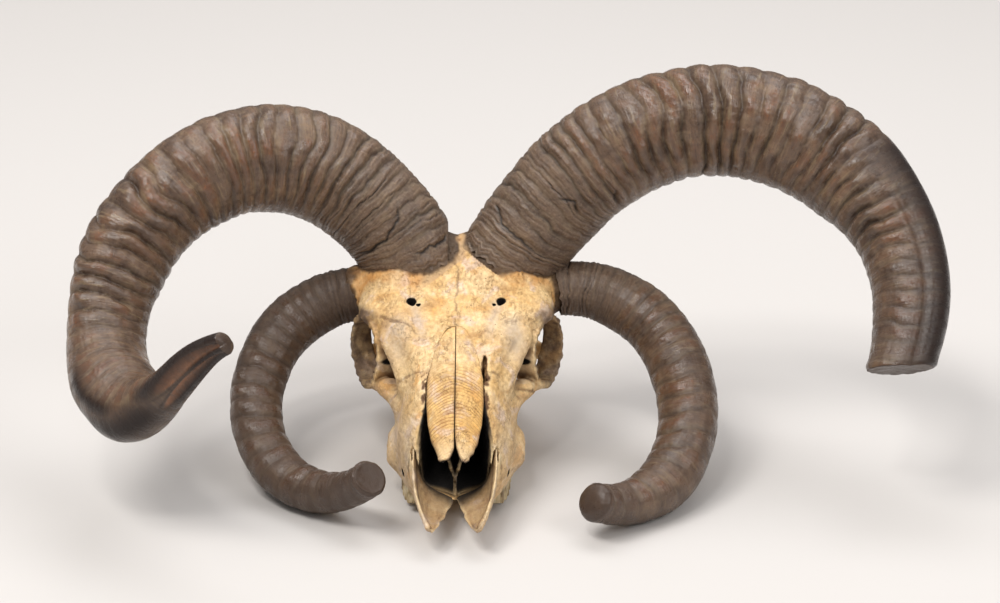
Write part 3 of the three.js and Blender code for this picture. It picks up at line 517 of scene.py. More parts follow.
def bone_details(d, x, y, z):
    """What differs from side to side, and the seats of the nasals and premaxillae."""
    near = np.abs(d) < 6
    for side in (1, -1):
        for a, b, ra, rb in FORAMINA:
            m = near & (np.abs(x - side * a[0]) < 12)
            m = m & (np.abs(y - a[1]) < 14) & (np.abs(z - a[2]) < 16)
            hole = limb(x[m] * side, y[m], z[m], a, b, ra, rb)
            d[m] = smax(d[m], -hole, 0.7)
    m = near & (y < -18) & (np.abs(x) < 22) & (z > 40)
    slack = 0.08 + 0.5 * step01(-y[m], 50, 62)
    d[m] = smax(d[m], -nasal_body(x[m], y[m], z[m], slack), 0.3)
    m = near & (y < -82) & (z < 52)
    d[m] = smax(d[m], -plate_body(x[m], y[m], z[m], 0.6), 0.4)
    # broken, jagged front ends of the maxillae
    m = near & (y < -80)
    jag = 3.2 * noise(x[m], y[m] * 0.2, z[m], 3.4, 5) + 1.6 * noise(x[m], y[m] * 0.2, z[m], 1.3, 6)
    d[m] = smax(d[m], -95.5 + jag - y[m], 0.5)
    # worn gap between the left nasal and its maxilla, and open cracks in the orbits
    m = near & (y < -24) & (y > -70) & (x > 8) & (z > 66)
    ragged = 1.5 + 0.8 * noise(x[m], y[m], z[m], 2.6, 8)
    d[m] = smax(d[m], ragged - np.hypot(x[m] - 17.6, (y[m] + 47) / 6.5), 0.6)
    m = near & (x > 30) & (z > 40) & (z < 100)
    for hx, hy, hz, hr in ((50.5, 2, 83, 1.5), (48.5, 1.5, 62.5, 1.7), (49.5, 9, 90, 1.0)):
        ball = np.sqrt((x[m] - hx) ** 2 + ((y[m] - hy) / 2.5) ** 2 + (z[m] - hz) ** 2)
        d[m] = smax(d[m], hr - ball, 0.5)
    return smax(d, -z, 0.3)


def bone_field(x, y, z):
    return bone_details(bone_symmetric(np.abs(x), y, z), x, y, z)


CELL = 0.75
COARSE = 4
CHUNK = 400000  # samples worked out at a time
LOWEST = 0.02  # the visible skins stay this far above the table
GRID_LO = np.array([-78.0, -114.0, -3.0])
GRID_N = (np.array([156.0, 222.0, 144.0]) / (CELL * COARSE)).astype(int)


def sampled_field():
    """The bone's field on a fine grid, worked out only near its surface."""
    big = CELL * COARSE
    half = GRID_N[0] // 2
    ax = [GRID_LO[k] + big * (np.arange(GRID_N[k]) + 0.5) - CELL / 2 for k in range(3)]
    cx, cy, cz = np.meshgrid(ax[0][half - 1:], ax[1], ax[2], indexing="ij")
    rough = bone_symmetric(np.abs(cx), cy, cz)
    near = np.abs(rough) < big * 1.9
    near = np.concatenate([near[:0:-1], near[1:]], axis=0)
    rough = np.concatenate([rough[:0:-1], rough[1:]], axis=0)

    def spread(a):
        return a.repeat(COARSE, 0).repeat(COARSE, 1).repeat(COARSE, 2)

    field = np.where(spread(rough) < 0, np.float32(-9), np.float32(9))
    ix, iy, iz = np.nonzero(spread(near))
    x = (GRID_LO[0] + CELL * ix).astype(np.float32)
    y = (GRID_LO[1] + CELL * iy).astype(np.float32)
    z = (GRID_LO[2] + CELL * iz).astype(np.float32)
    value = np.empty(len(x), np.float32)
    for a in range(0, len(x), CHUNK):
        s = slice(a, a + CHUNK)
        value[s] = bone_field(x[s], y[s], z[s])
    field[ix, iy, iz] = value
    return field


def surface_net(field):
    """Quads round the zero level of a sampled field, one corner to each crossed cell."""
    solid = field < 0
    count = np.zeros(tuple(s - 1 for s in field.shape), np.int8)
    for i, j, k in CORNERS:
        count += solid[i:i + count.shape[0], j:j + count.shape[1], k:k + count.shape[2]]
    active = (count > 0) & (count < 8)
    cell = np.argwhere(active)
    index = np.full(count.shape, -1, np.int32)
    index[active] = np.arange(len(cell), dtype=np.int32)
    value = np.stack([field[cell[:, 0] + i, cell[:, 1] + j, cell[:, 2] + k] for i, j, k in CORNERS])
    total = np.zeros((len(cell), 3))
    hits = np.zeros(len(cell))
    for a in range(8):
        for b in range(a + 1, 8):
            ca, cb = np.array(CORNERS[a]), np.array(CORNERS[b])
            if np.abs(ca - cb).sum() != 1:
                continue
            m = (value[a] < 0) != (value[b] < 0)
            t = value[a][m] / (value[a][m] - value[b][m])
            total[m] += ca + (cb - ca) * t[:, None]
            hits[m] += 1
    points = GRID_LO + CELL * (cell + total / hits[:, None])
    quads = []
    turns = {
        0: [(0, -1, -1), (0, 0, -1), (0, 0, 0), (0, -1, 0)],
        1: [(-1, 0, -1), (-1, 0, 0), (0, 0, 0), (0, 0, -1)],
        2: [(-1, -1, 0), (0, -1, 0), (0, 0, 0), (-1, 0, 0)],
    }
    for axis in range(3):
        lo = [slice(1, s - 1) for s in field.shape]
        hi = list(lo)
        lo[axis] = slice(0, field.shape[axis] - 1)
        hi[axis] = slice(1, field.shape[axis])
        first, second = solid[tuple(lo)], solid[tuple(hi)]
        at = np.argwhere(first != second)
        leaving = first[tuple(at.T)]
        shift = np.ones(3, int)
        shift[axis] = 0
        at = at + shift
        q = np.stack([index[tuple((at + np.array(o)).T)] for o in turns[axis]], axis=1)
        q[~leaving] = q[~leaving][:, ::-1]
        quads.append(q[(q >= 0).all(1)])
    return points, np.concatenate(quads)


def normals_of(points, quads):
    a = points[quads[:, 2]] - points[quads[:, 0]]
    b = points[quads[:, 3]] - points[quads[:, 1]]
    face = np.cross(a, b)
    out = np.zeros_like(points)
    for k in range(4):
        for c in range(3):
            out[:, c] += np.bincount(quads[:, k], face[:, c], len(points))
    return out / np.maximum(np.linalg.norm(out, axis=1), 1e-9)[:, None]


def grid_quads(rows, cols):
    """Quads of a skin of closed rings."""
    ids = np.arange(rows * cols).reshape(rows, cols)
    nxt = np.roll(ids, -1, axis=1)
    return np.stack([ids[:-1], nxt[:-1], nxt[1:], ids[1:]], axis=-1).reshape(-1, 4)


def outward(points, quads, centre):
    """The quads, turned over if they face their centre."""
    if (normals_of(points, quads) * (points - centre)).sum() < 0:
        return quads[:, ::-1].copy()
    return quads


def smooth_along(points, quads, values, rounds):
    for _ in range(rounds):
        total = np.zeros_like(values)
        hits = np.zeros(len(points))
        for k in range(4):
            a, b = quads[:, k], quads[:, (k + 1) % 4]
            for u, v in ((a, b), (b, a)):
                hits += np.bincount(u, minlength=len(points))
                for c in range(values.shape[1]):
                    total[:, c] += np.bincount(u, values[v, c], len(points))
        values = 0.5 * values + 0.5 * total / np.maximum(hits, 1)[:, None]
    return values


def mesh_piece(name, points, quads, layers, material, nodes):
    """A visual piece from points in skull millimetres, with its vertex layers."""
    mesh = bpy.data.meshes.new(name)
    mesh.vertices.add(len(points))
    mesh.vertices.foreach_set("co", (points / 1000 + ORIGIN).astype(np.float32).ravel())
    flat = np.ascontiguousarray(quads, np.int32)
    mesh.loops.add(flat.size)
    mesh.loops.foreach_set("vertex_index", flat.ravel())
    mesh.polygons.add(len(flat))
    mesh.polygons.foreach_set("loop_start", np.arange(0, flat.size, flat.shape[1], dtype=np.int32))
    mesh.update(calc_edges=True)
    mesh.shade_smooth()
    for key, data in layers.items():
        data = np.asarray(data, np.float32)
        kind = "FLOAT" if data.ndim == 1 else "FLOAT_VECTOR"
        layer = mesh.attributes.new(key, kind, "POINT")
        layer.data.foreach_set("value" if data.ndim == 1 else "vector", data.ravel())
    piece = placed(name, mesh)
    mesh.materials.append(material)
    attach(piece, "root")
    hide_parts(*nodes)
    return piece


# ------------------------------------------------------------------ horns: axis and surface
UPPER_DEPTH = (0.92, 0.86, 0.84, 0.84, 0.84, 0.8)
LOWER_DEPTH = (0.95, 0.92, 0.9, 0.9, 0.92, 0.95)
# Angles in degrees; pitch and yaw per 100 mm, in even steps along the horn, as are spacing and
# relief of the rings and the angle of the front; half is the half width at the places "at"; a
# crack is a line of (angle, distance from the root); a keel runs from angle to angle over a
# share of the length, with its breadth and height; a hollow has its middle, its reach and depth.
HORNS = {
    "horn_upper_right": dict(
        root=(-23.6, 46.1, 113.1), azimuth=177.6, elevation=63.1, length=455,
        pitch=(-31, 46, 16, 54, 115, -69), yaw=(31, 54, 51, 13, -50, 72),
        at=(0, .06, .12, .19, .25, .31, .38, .45, .51, .57, .62, .68, .74, .8, .87, .94, 1),
        half=(30, 30.5, 32, 33.5, 34.2, 33.7, 32.3, 30.2, 29.6, 28.5, 25.2, 25.6, 28.7, 19.8, 12.4,
              11.1, 6),
        depth=UPPER_DEPTH, base_tilt=8, keel=0.1, keel_angle=(0, 20, 45, 145, 150), start=0,
        gap=5.5,
        bulge=(0.79, 0.04, 100, 6.5),
        spacing=(8, 9, 11, 11, 12, 10), relief=(0.6, 1.7, 2.6, 2.8, 1.4, 0.2), end="point",
        front=(246, 242, 234, 222, 206, 165), bark=120,
        cracks=([(238, 42), (252, 36), (276, 30), (300, 28), (326, 29)],
                [(200, 14), (230, 12), (262, 15)]),
        keels=((168, 136, 0.68, 0.83, 7, 1.6), (136, 176, 0.81, 1.0, 6.5, 1.8),
               (62, 62, 0.84, 1.0, 4.5, 1.0),
               (104, 104, 0.9, 1.0, 2.2, 0.6), (122, 98, 0.70, 0.88, 12, 0.01)),
        hollows=((129, 0.945, 22, 0.07, 1.6), (84, 0.93, 16, 0.065, 1.3)), plain=(0.56, 0.7)),
    "horn_upper_left": dict(
        root=(28.8, 46.4, 113), azimuth=17, elevation=53.6, length=403,
        pitch=(18, 0, 20, 28, 46, 23), yaw=(2, -38, -47, -33, -32, -15),
        at=(0, .06, .12, .2, .27, .42, .5, .58, .66, .73, .81, .89, .96, 1),
        half=(30.5, 31.5, 32.6, 33.8, 34.6, 34.6, 34.7, 34, 32.3, 28, 25.2, 24, 21.5, 19.8),
        depth=(0.92, 0.86, 0.84, 0.84, 0.86, 0.86), base_tilt=6, keel=0.08,
        keel_angle=(180, 165, 150, 140, 130), start=0, gap=5.5, cut=(0, -0.52),
        spacing=(8, 9, 11.5, 11, 11, 10), relief=(0.6, 1.7, 2.8, 2.7, 2.1, 1.1), end="sawn",
        end_dim=0.9,
        front=(288, 293, 302, 312, 320, 330), bark=115,
        cracks=([(258, 22), (285, 25), (308, 26), (340, 32)], [(246, 60), (262, 66), (280, 60)],
                [(216, 84), (232, 87), (246, 92)], [(205, 158), (218, 160), (236, 166)]),
        keels=((360, 376, 0.62, 1.0, 15, 1.8), (322, 336, 0.70, 1.0, 3.6, -2.3))),
    "horn_lower_right": dict(
        root=(-52.9, 42, 95.2), azimuth=168.5, elevation=-3.1, length=259,
        pitch=(84, 76, 45, 71, 87, 5), yaw=(45, 58, 36, 30, -25, -67),
        at=(0, .08, .15, .23, .31, .4, .57, .65, .74, .82, .91, 1),
        half=(16.4, 17, 17.7, 17.9, 17.3, 16.8, 16.3, 16.2, 15.2, 13.3, 11.4, 10.4),
        depth=LOWER_DEPTH, base_tilt=0, keel=0.05, keel_angle=(0, 20, 40, 60, 60), start=0.005,
        gap=0,
        spacing=(6, 8, 12, 14, 13, 11), relief=(0.3, 0.7, 1.3, 1.2, 0.7, 0.35), end="sawn",
        end_dim=1.0,
        front=(215, 222, 226, 226, 220), bark=60, dim=0.75),
    "horn_lower_left": dict(
        root=(60, 41.7, 97.4), azimuth=11.1, elevation=5.4, length=257,
        pitch=(69, 75, 44, 48, 85, 52), yaw=(-62, -53, -27, -27, -6, 58),
        at=(0, .09, .18, .26, .45, .53, .62, .71, .79, .86, .93, 1),
        half=(16.4, 17, 18.6, 19.1, 19.5, 18.9, 18.7, 18.5, 17.5, 15, 12.8, 11.2),
        depth=LOWER_DEPTH, base_tilt=0, keel=0.05, keel_angle=(180, 160, 140, 120, 120),
        start=0.012, gap=0,
        spacing=(6, 8, 12, 14, 13, 11), relief=(0.3, 0.7, 1.2, 1.1, 0.7, 0.35), end="knob",
        front=(305, 308, 312, 320, 325), bark=70, dim=0.3),
}
AXIS_STEPS = 960
HORN_STEP = ((0.66, 1.05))
# The faces that close a horn: a share of the rim's radius, and how far ahead of the rim.
END_PROFILES = {
    "sawn": ((0.985, 0.35), (0.95, 0.6), (0.9, 0.62), (0.82, 0.45), (0.7, 0.25), (0.55, 0.1),
             (0.4, -0.1), (0.25, -0.25), (0.12, -0.3), (0.01, -0.3)),
    "knob": ((0.985, 1.0), (0.94, 2.2), (0.87, 3.3), (0.78, 4.2), (0.66, 4.9), (0.53, 5.3),
             (0.4, 5.5), (0.26, 5.6), (0.13, 5.6), (0.01, 5.6)),
    "point": ((0.93, 0.7), (0.82, 1.3), (0.68, 1.8), (0.5, 2.2), (0.3, 2.4), (0.01, 2.5)),
}


def evenly(values, t):
    return np.interp(t, np.linspace(0, 1, len(values)), values)


def smooth_table(ts, values, t):
    """A table read with its corners rounded off."""
    total = 0
    for k, w in ((-0.03, 0.15), (-0.015, 0.2), (0, 0.3), (0.015, 0.2), (0.03, 0.15)):
        total = total + w * np.interp(t + k, ts, values)
    return total


def horn_axis(h):
    """Points and frames (width, depth, heading) along a horn, from its turning rates."""
    step = h["length"] / AXIS_STEPS
    az, el = math.radians(h["azimuth"]), math.radians(h["elevation"])
    heading = np.array([math.cos(el) * math.cos(az), math.cos(el) * math.sin(az), math.sin(el)])
    width = np.cross(heading, (0, 1, 0))
    width /= np.linalg.norm(width)
    turn = np.stack([width, np.cross(width, heading), heading], axis=1)
    at = np.array(h["root"], float)
    points, frames = [at.copy()], [turn.copy()]
    ts = (np.arange(AXIS_STEPS) + 0.5) / AXIS_STEPS
    pitch = np.radians(evenly(h["pitch"], ts) * step / 100)
    yaw = np.radians(evenly(h["yaw"], ts) * step / 100)
    for a, b in zip(pitch, yaw):
        ca, sa, cb, sb = math.cos(a), math.sin(a), math.cos(b), math.sin(b)
        turn = turn @ np.array([[1, 0, 0], [0, ca, -sa], [0, sa, ca]])
        turn = turn @ np.array([[cb, 0, sb], [0, 1, 0], [-sb, 0, cb]])
        at = at + turn[:, 2] * step
        points.append(at.copy())
        frames.append(turn.copy())
    return np.array(points), np.array(frames)


AXES = {name: horn_axis(h) for name, h in HORNS.items()}


def horn_radius(h, t, a):
    """Half widths of a horn across its frame, with the keel's swelling."""
    away = np.cos(a - np.radians(evenly(h["keel_angle"], t)))
    swell = 1 + h["keel"] * np.exp(-(1 - away) / 0.12) - 0.5 * h["keel"] * np.maximum(0, -away)
    half = smooth_table(h["at"], h["half"], t)
    bt, reach, angle, high = h.get("bulge", (0, 1, 0, 0))
    bulge = high * np.exp(-((t - bt) / reach) ** 2 - (1 - np.cos(a - math.radians(angle))) / 0.3)
    return half * swell + bulge, half * evenly(h["depth"], t) * swell + bulge


def horn_distance(points, name, reach):
    """Rough distance from points to a horn's skin over the first part of its length."""
    h = HORNS[name]
    at, frames = AXES[name]
    last = int(AXIS_STEPS * reach)
    best = np.full(len(points), 1e3)
    for i in range(0, last, 6):
        rel = points - at[i]
        along = rel @ frames[i][:, 2]
        m = np.abs(along) < 4
        c, s = rel[m] @ frames[i][:, 0], rel[m] @ frames[i][:, 1]
        wide, deep = horn_radius(h, i / AXIS_STEPS, np.arctan2(s, c))
        r = np.hypot(c / wide, s / deep)
        gap = (r - 1) * np.minimum(wide, deep)
        best[m] = np.minimum(best[m], gap)
    return best


def horn_mesh(name, h):
    """Dense skin of one horn sheath with its rings, cracks and striae, and its vertex layers."""
    axis_at, axis_frame = AXES[name]
    length = h["length"]
    rows = int(length * (1 - h["start"]) / HORN_STEP[0])
    girth = 2 * math.pi * max(h["half"])
    cols = int(girth / HORN_STEP[1])
    t = np.linspace(h["start"], 1, rows + 1)[:, None]
    a = (np.arange(cols) / cols * 2 * math.pi)[None, :]
    t, a = np.broadcast_arrays(t, a)
    k = t * AXIS_STEPS
    k0 = np.clip(np.floor(k).astype(int), 0, AXIS_STEPS - 1)
    u = (k - k0)[..., None]
    at = axis_at[k0] * (1 - u) + axis_at[k0 + 1] * u
    turn = axis_frame[k0]
    wide, deep = horn_radius(h, t, a)
    s = t * length
    # lengthwise and ring coordinates, the same for the shape and for the material
    hx, hy = np.cos(a) * wide, np.sin(a) * deep
    seed = len(name) * 7 + (3 if "left" in name else 0)

    def rough(size, number, along=s):
        return noise(hx, hy, along, size, seed + number)

    base = 1 - step01(s, h["bark"] * 0.35, h["bark"])
    drift = 0.45 * rough((26, 26, 34), 0)
    drift = drift + (0.12 + 0.12 * base) * rough((10, 10, 18), 1)
    drift = drift + (0.04 + 0.05 * base) * rough((3.4, 3.4, 7), 2)
    table = np.linspace(0, 1, 400)
    turns = np.concatenate([[0], np.cumsum(length / 399 / evenly(h["spacing"], table[1:]))])
    front = np.radians(evenly(h["front"], t))
    away = np.cos(a - front)
    phase = np.interp(t, table, turns) + drift - 0.35 * away
    valley_no = np.round(phase)
    crest_no = np.floor(phase)
    zero = np.zeros_like(phase)
    # rounded crests of unequal height, broken into knobs on the front, with narrow valleys
    wave = np.abs(np.sin(math.pi * phase)) ** 0.8
    valley = (1 - np.abs(phase - valley_no) * 2) ** 3
    knob = rough((9, 9, 4), 6, crest_no * 9.0)
    swing = rough((22, 22, 30), 7)
    high = 0.5 + 0.7 * cell_hash(crest_no, zero, zero, seed + 5)
    high = high + 1.05 * knob * step01(away, -0.2, 0.5)
    low = 0.35 + 0.9 * cell_hash(valley_no, zero, zero, seed + 4) + 0.5 * swing
    relief = smooth_table(np.linspace(0, 1, len(h["relief"])), h["relief"], t)
    strength = relief * np.clip(0.24 + 0.78 * step01(away, 0.0, 0.9) + 0.3 * swing, 0.12, 1.4)
    plain0, plain1 = h.get("plain", (1.0, 1.01))
    strength = strength * (1 - 0.88 * step01(t, plain0, plain1))
    lift = strength * (np.clip(high, 0.1, 2) * (wave - 0.55) - 0.55 * np.clip(low, 0, 1.5) * valley)
    crest = np.clip(wave * (0.6 + 0.4 * high), 0, 1)
    # bark-like wrinkles over the base, growth lines further up
    bark_phase = s / 3.1 + 2.2 * drift + 0.45 * rough((13, 13, 12), 8)
    bark = np.abs(np.sin(math.pi * bark_phase)) ** 0.55
    own = cell_hash(np.round(bark_phase), zero, zero, seed + 9)
    split = np.clip(0.2 + 0.9 * own ** 2 + 0.5 * rough((48, 48, 5), 10), 0.14, 1.5)
    lift = lift - base * 1.25 * split * (1 - bark)
    fine_phase = s / 1.9 + 1.8 * drift + 0.4 * rough((5, 5, 4), 11)
    lines = np.abs(np.sin(math.pi * fine_phase)) ** 0.7
    lift = lift - (0.13 + 0.14 * base) * (1 - lines) * (0.9 + 0.8 * rough((8, 8, 8), 12))
    # lengthwise striae, lumps and chips
    lift = lift + 0.12 * rough((1.6, 1.6, 26), 13)
    lift = lift + 0.25 * rough((6, 6, 60), 14)
    lift = lift + 1.1 * fbm(hx, hy, s, 24, 2, seed + 15) + 0.22 * fbm(hx, hy, s, 2.6, 2, seed + 16)
    chips = speckle(hx, hy, s, 6.0, 0.12, seed + 17) * step01(swing, -0.3, 0.3)
    lift = lift - 0.6 * chips * (1 - 0.6 * base)
    lift = lift + 0.5
    # open cracks that follow the wrinkles
    crack = np.zeros_like(s)
    wander = 1.3 * rough(5.0, 18, s * 0) + 0.5 * rough(1.6, 19, s * 0)
    for line in h.get("cracks", ()):
        angle = np.radians([q[0] for q in line])
        turn_a = (a - angle[0] + math.pi) % (2 * math.pi) - math.pi + angle[0]
        level = np.interp(turn_a, angle, [q[1] for q in line])
        end = np.minimum(turn_a - angle[0], angle[-1] - turn_a) * wide
        crack = np.maximum(crack, bell(s - level - wander, 0.85) * step01(end, -1, 6))
    wide_crack = step01(rough((60, 60, 7), 20), 0.15, 0.45) * (own > 0.7) * base
    crack = np.maximum(crack, wide_crack * step01(bark, 0.62, 0.3))
    crack = np.clip(crack, 0, 1)
    lift = lift - 1.5 * crack
    # keels and hollows that this horn alone has
    shine = np.zeros_like(s)
    for a0, a1, t0, t1, broad, rise in h.get("keels", ()):
        mid = np.radians(a0 + (a1 - a0) * np.clip((t - t0) / (t1 - t0), 0, 1))
        off = np.abs((a - mid + math.pi) % (2 * math.pi) - math.pi) * wide
        span = step01(t, t0, t0 + 0.06)
        if t1 < 1:
            span = span * (1 - step01(t, t1 - 0.04, t1))
        if rise > 0:
            calm = np.clip(1.5 * bell(off, 1.7 * broad), 0, 1) * span
            lift = lift * (1 - 0.9 * calm)
            shine = np.maximum(shine, bell(off, broad * 1.2) * span)
        lift = lift + rise * bell(off, broad) * span
    hollow = np.zeros_like(s)
    for a0, t0, half_a, half_t, deep_by in h.get("hollows", ()):
        off = np.abs((a - np.radians(a0) + math.pi) % (2 * math.pi) - math.pi)
        reach = np.hypot(off / math.radians(half_a), (t - t0) / half_t)
        oval = np.clip(1 - reach ** 2, 0, 1)
        shine = np.maximum(shine, 0.6 * bell(reach - 1.15, 0.2))
        hollow = np.maximum(hollow, step01(oval, 0.0, 0.35))
        lift = lift - deep_by * np.sqrt(oval)
    if h["end"] == "sawn":
        lift = lift + 0.5 * step01(t, 0.975, 1.0) - 1.3 * step01(t, 0.994, 1.001)
    wide_l, deep_l = wide + lift, deep + lift
    fade = np.maximum(0, 1 - t / 0.16)
    slant = -math.copysign(1, h["root"][0]) * math.tan(math.radians(h["base_tilt"]))
    cut_w, cut_d = h.get("cut", (0, 0))
    near_end = np.clip((t - 0.86) / 0.14, 0, 1) ** 2
    slant = slant * np.cos(a) * wide * fade * fade
    slant = slant + near_end * (cut_w * np.cos(a) * wide + cut_d * np.sin(a) * deep)
    ragged = 3.4 * rough(9.0, 21, s * 0) + 2.2 * rough(2.6, 22, s * 0)
    slant = slant - ragged * (1.0 if h["base_tilt"] else 0.5) * np.clip(1 - s / 18, 0, 1)
    local = np.stack([np.cos(a) * wide_l, np.sin(a) * deep_l, slant], axis=-1)
    points = at + np.einsum("rcij,rcj->rci", turn, local)
    rows_of = [points]
    bark_line = base * np.clip((0.70 - bark) * 1.5 * split, 0, 1)
    layer = dict(
        ring=[crest], lines=[lines], crack=[np.maximum(crack, bark_line)], along=[t], away=[away],
        valley=[np.clip(valley * low * np.clip(strength, 0, 1), 0, 1)], shine=[shine],
        hollow=[hollow], bark=[base], dim=[s * 0 + h.get("dim", 0.0)])
    hpos = [np.stack([hx, hy, s], axis=-1)]
    # the end: a rounded rim, then a face that is dished, domed or drawn to a tip
    forward = axis_frame[-1][:, 2]
    middle = axis_at[-1]
    rim = points[-1]
    knots = ((1.0, 0.0),) + END_PROFILES[h["end"]]
    dense = [(r0 + (r1 - r0) * w, f0 + (f1 - f0) * w)
             for (r0, f0), (r1, f1) in zip(knots[:-1], knots[1:]) for w in (0.5, 1.0)]
    on_end = dict(ring=0.6, lines=0.6, crack=0.0, valley=0.0, shine=0.4, hollow=0.0, bark=0.0,
                  dim=h.get("end_dim", 0.4))
    for r, ahead in dense:
        ring_points = middle + (rim - middle) * r + forward * ahead
        wobble = 0.35 * noise(*ring_points.T, 3.0, seed + 20)
        ring_points = ring_points + forward * (wobble * r)[:, None]
        rows_of.append(ring_points[None])
        layer["away"].append(away[-1:])
        for key, value in (*on_end.items(), ("along", 1.0 + (1 - r) * 0.1)):
            layer[key].append(np.full((1, cols), value))
        hpos.append(hpos[0][-1:] * np.array([r, r, 1]))
    points = np.concatenate(rows_of)
    total = points.shape[0]
    if h["gap"]:
        side = math.copysign(1, h["root"][0])
        points[..., 0] = side * np.maximum(h["gap"] + 0.15, points[..., 0] * side)
    points[..., 2] = np.maximum(LOWEST, points[..., 2])
    flat = points.reshape(-1, 3)
    centre = np.concatenate([at[:, 0], np.repeat(middle[None], total - rows - 1, 0)])
    quads = outward(flat, grid_quads(total, cols), np.repeat(centre, cols, 0))
    layers = {key: np.concatenate(v).ravel() for key, v in layer.items()}
    layers["hpos"] = np.concatenate(hpos).reshape(-1, 3)
    return flat, quads, layers


# ------------------------------------------------------------------ the bones
def sample(field, points):
    """The gridded field read between its samples."""
    g = (points - GRID_LO) / CELL
    g = np.clip(g, 0, np.array(field.shape) - 1.001)
    i = g.astype(int)
    f = (g - i).astype(np.float32)
    w = [(1 - f[:, k], f[:, k]) for k in range(3)]
    total = 0
    for a, b, c in CORNERS:
        total = total + w[0][a] * w[1][b] * w[2][c] * field[i[:, 0] + a, i[:, 1] + b, i[:, 2] + c]
    return total


def near_line(u, v, line):
    """Distance in a plane from points to a polyline."""
    best = np.full(len(u), 1e3)
    for (ax, ay), (bx, by) in zip(line[:-1], line[1:]):
        ex, ey = bx - ax, by - ay
        t = np.clip(((u - ax) * ex + (v - ay) * ey) / (ex * ex + ey * ey), 0, 1)
        best = np.minimum(best, np.hypot(u - ax - ex * t, v - ay - ey * t))
    return best


# Sutures seen from above (|x|, y) and from the side (y, z), with the range of the third axis.
TOP_SUTURES = [
    ([(47, -8), (38, -15), (30, -19), (23, -27), (15.5, -31)], 62, 120),
    ([(0, 62), (12, 60), (24, 63), (34, 60)], 70, 140),
]
SIDE_SUTURES = [
    ([(-50, 80), (-42, 73), (-37, 64), (-29, 59), (-22, 54)], 14, 60),
    ([(-37, 64), (-34, 52), (-38, 44), (-30, 38), (-18, 34)], 24, 60),
    ([(-86, 45), (-88, 33), (-93, 24)], 14, 40),
    ([(-4, 56), (0, 51), (6, 52)], 46, 70),
    ([(58, 30), (62, 44), (60, 58), (66, 72)], 20, 60),
]


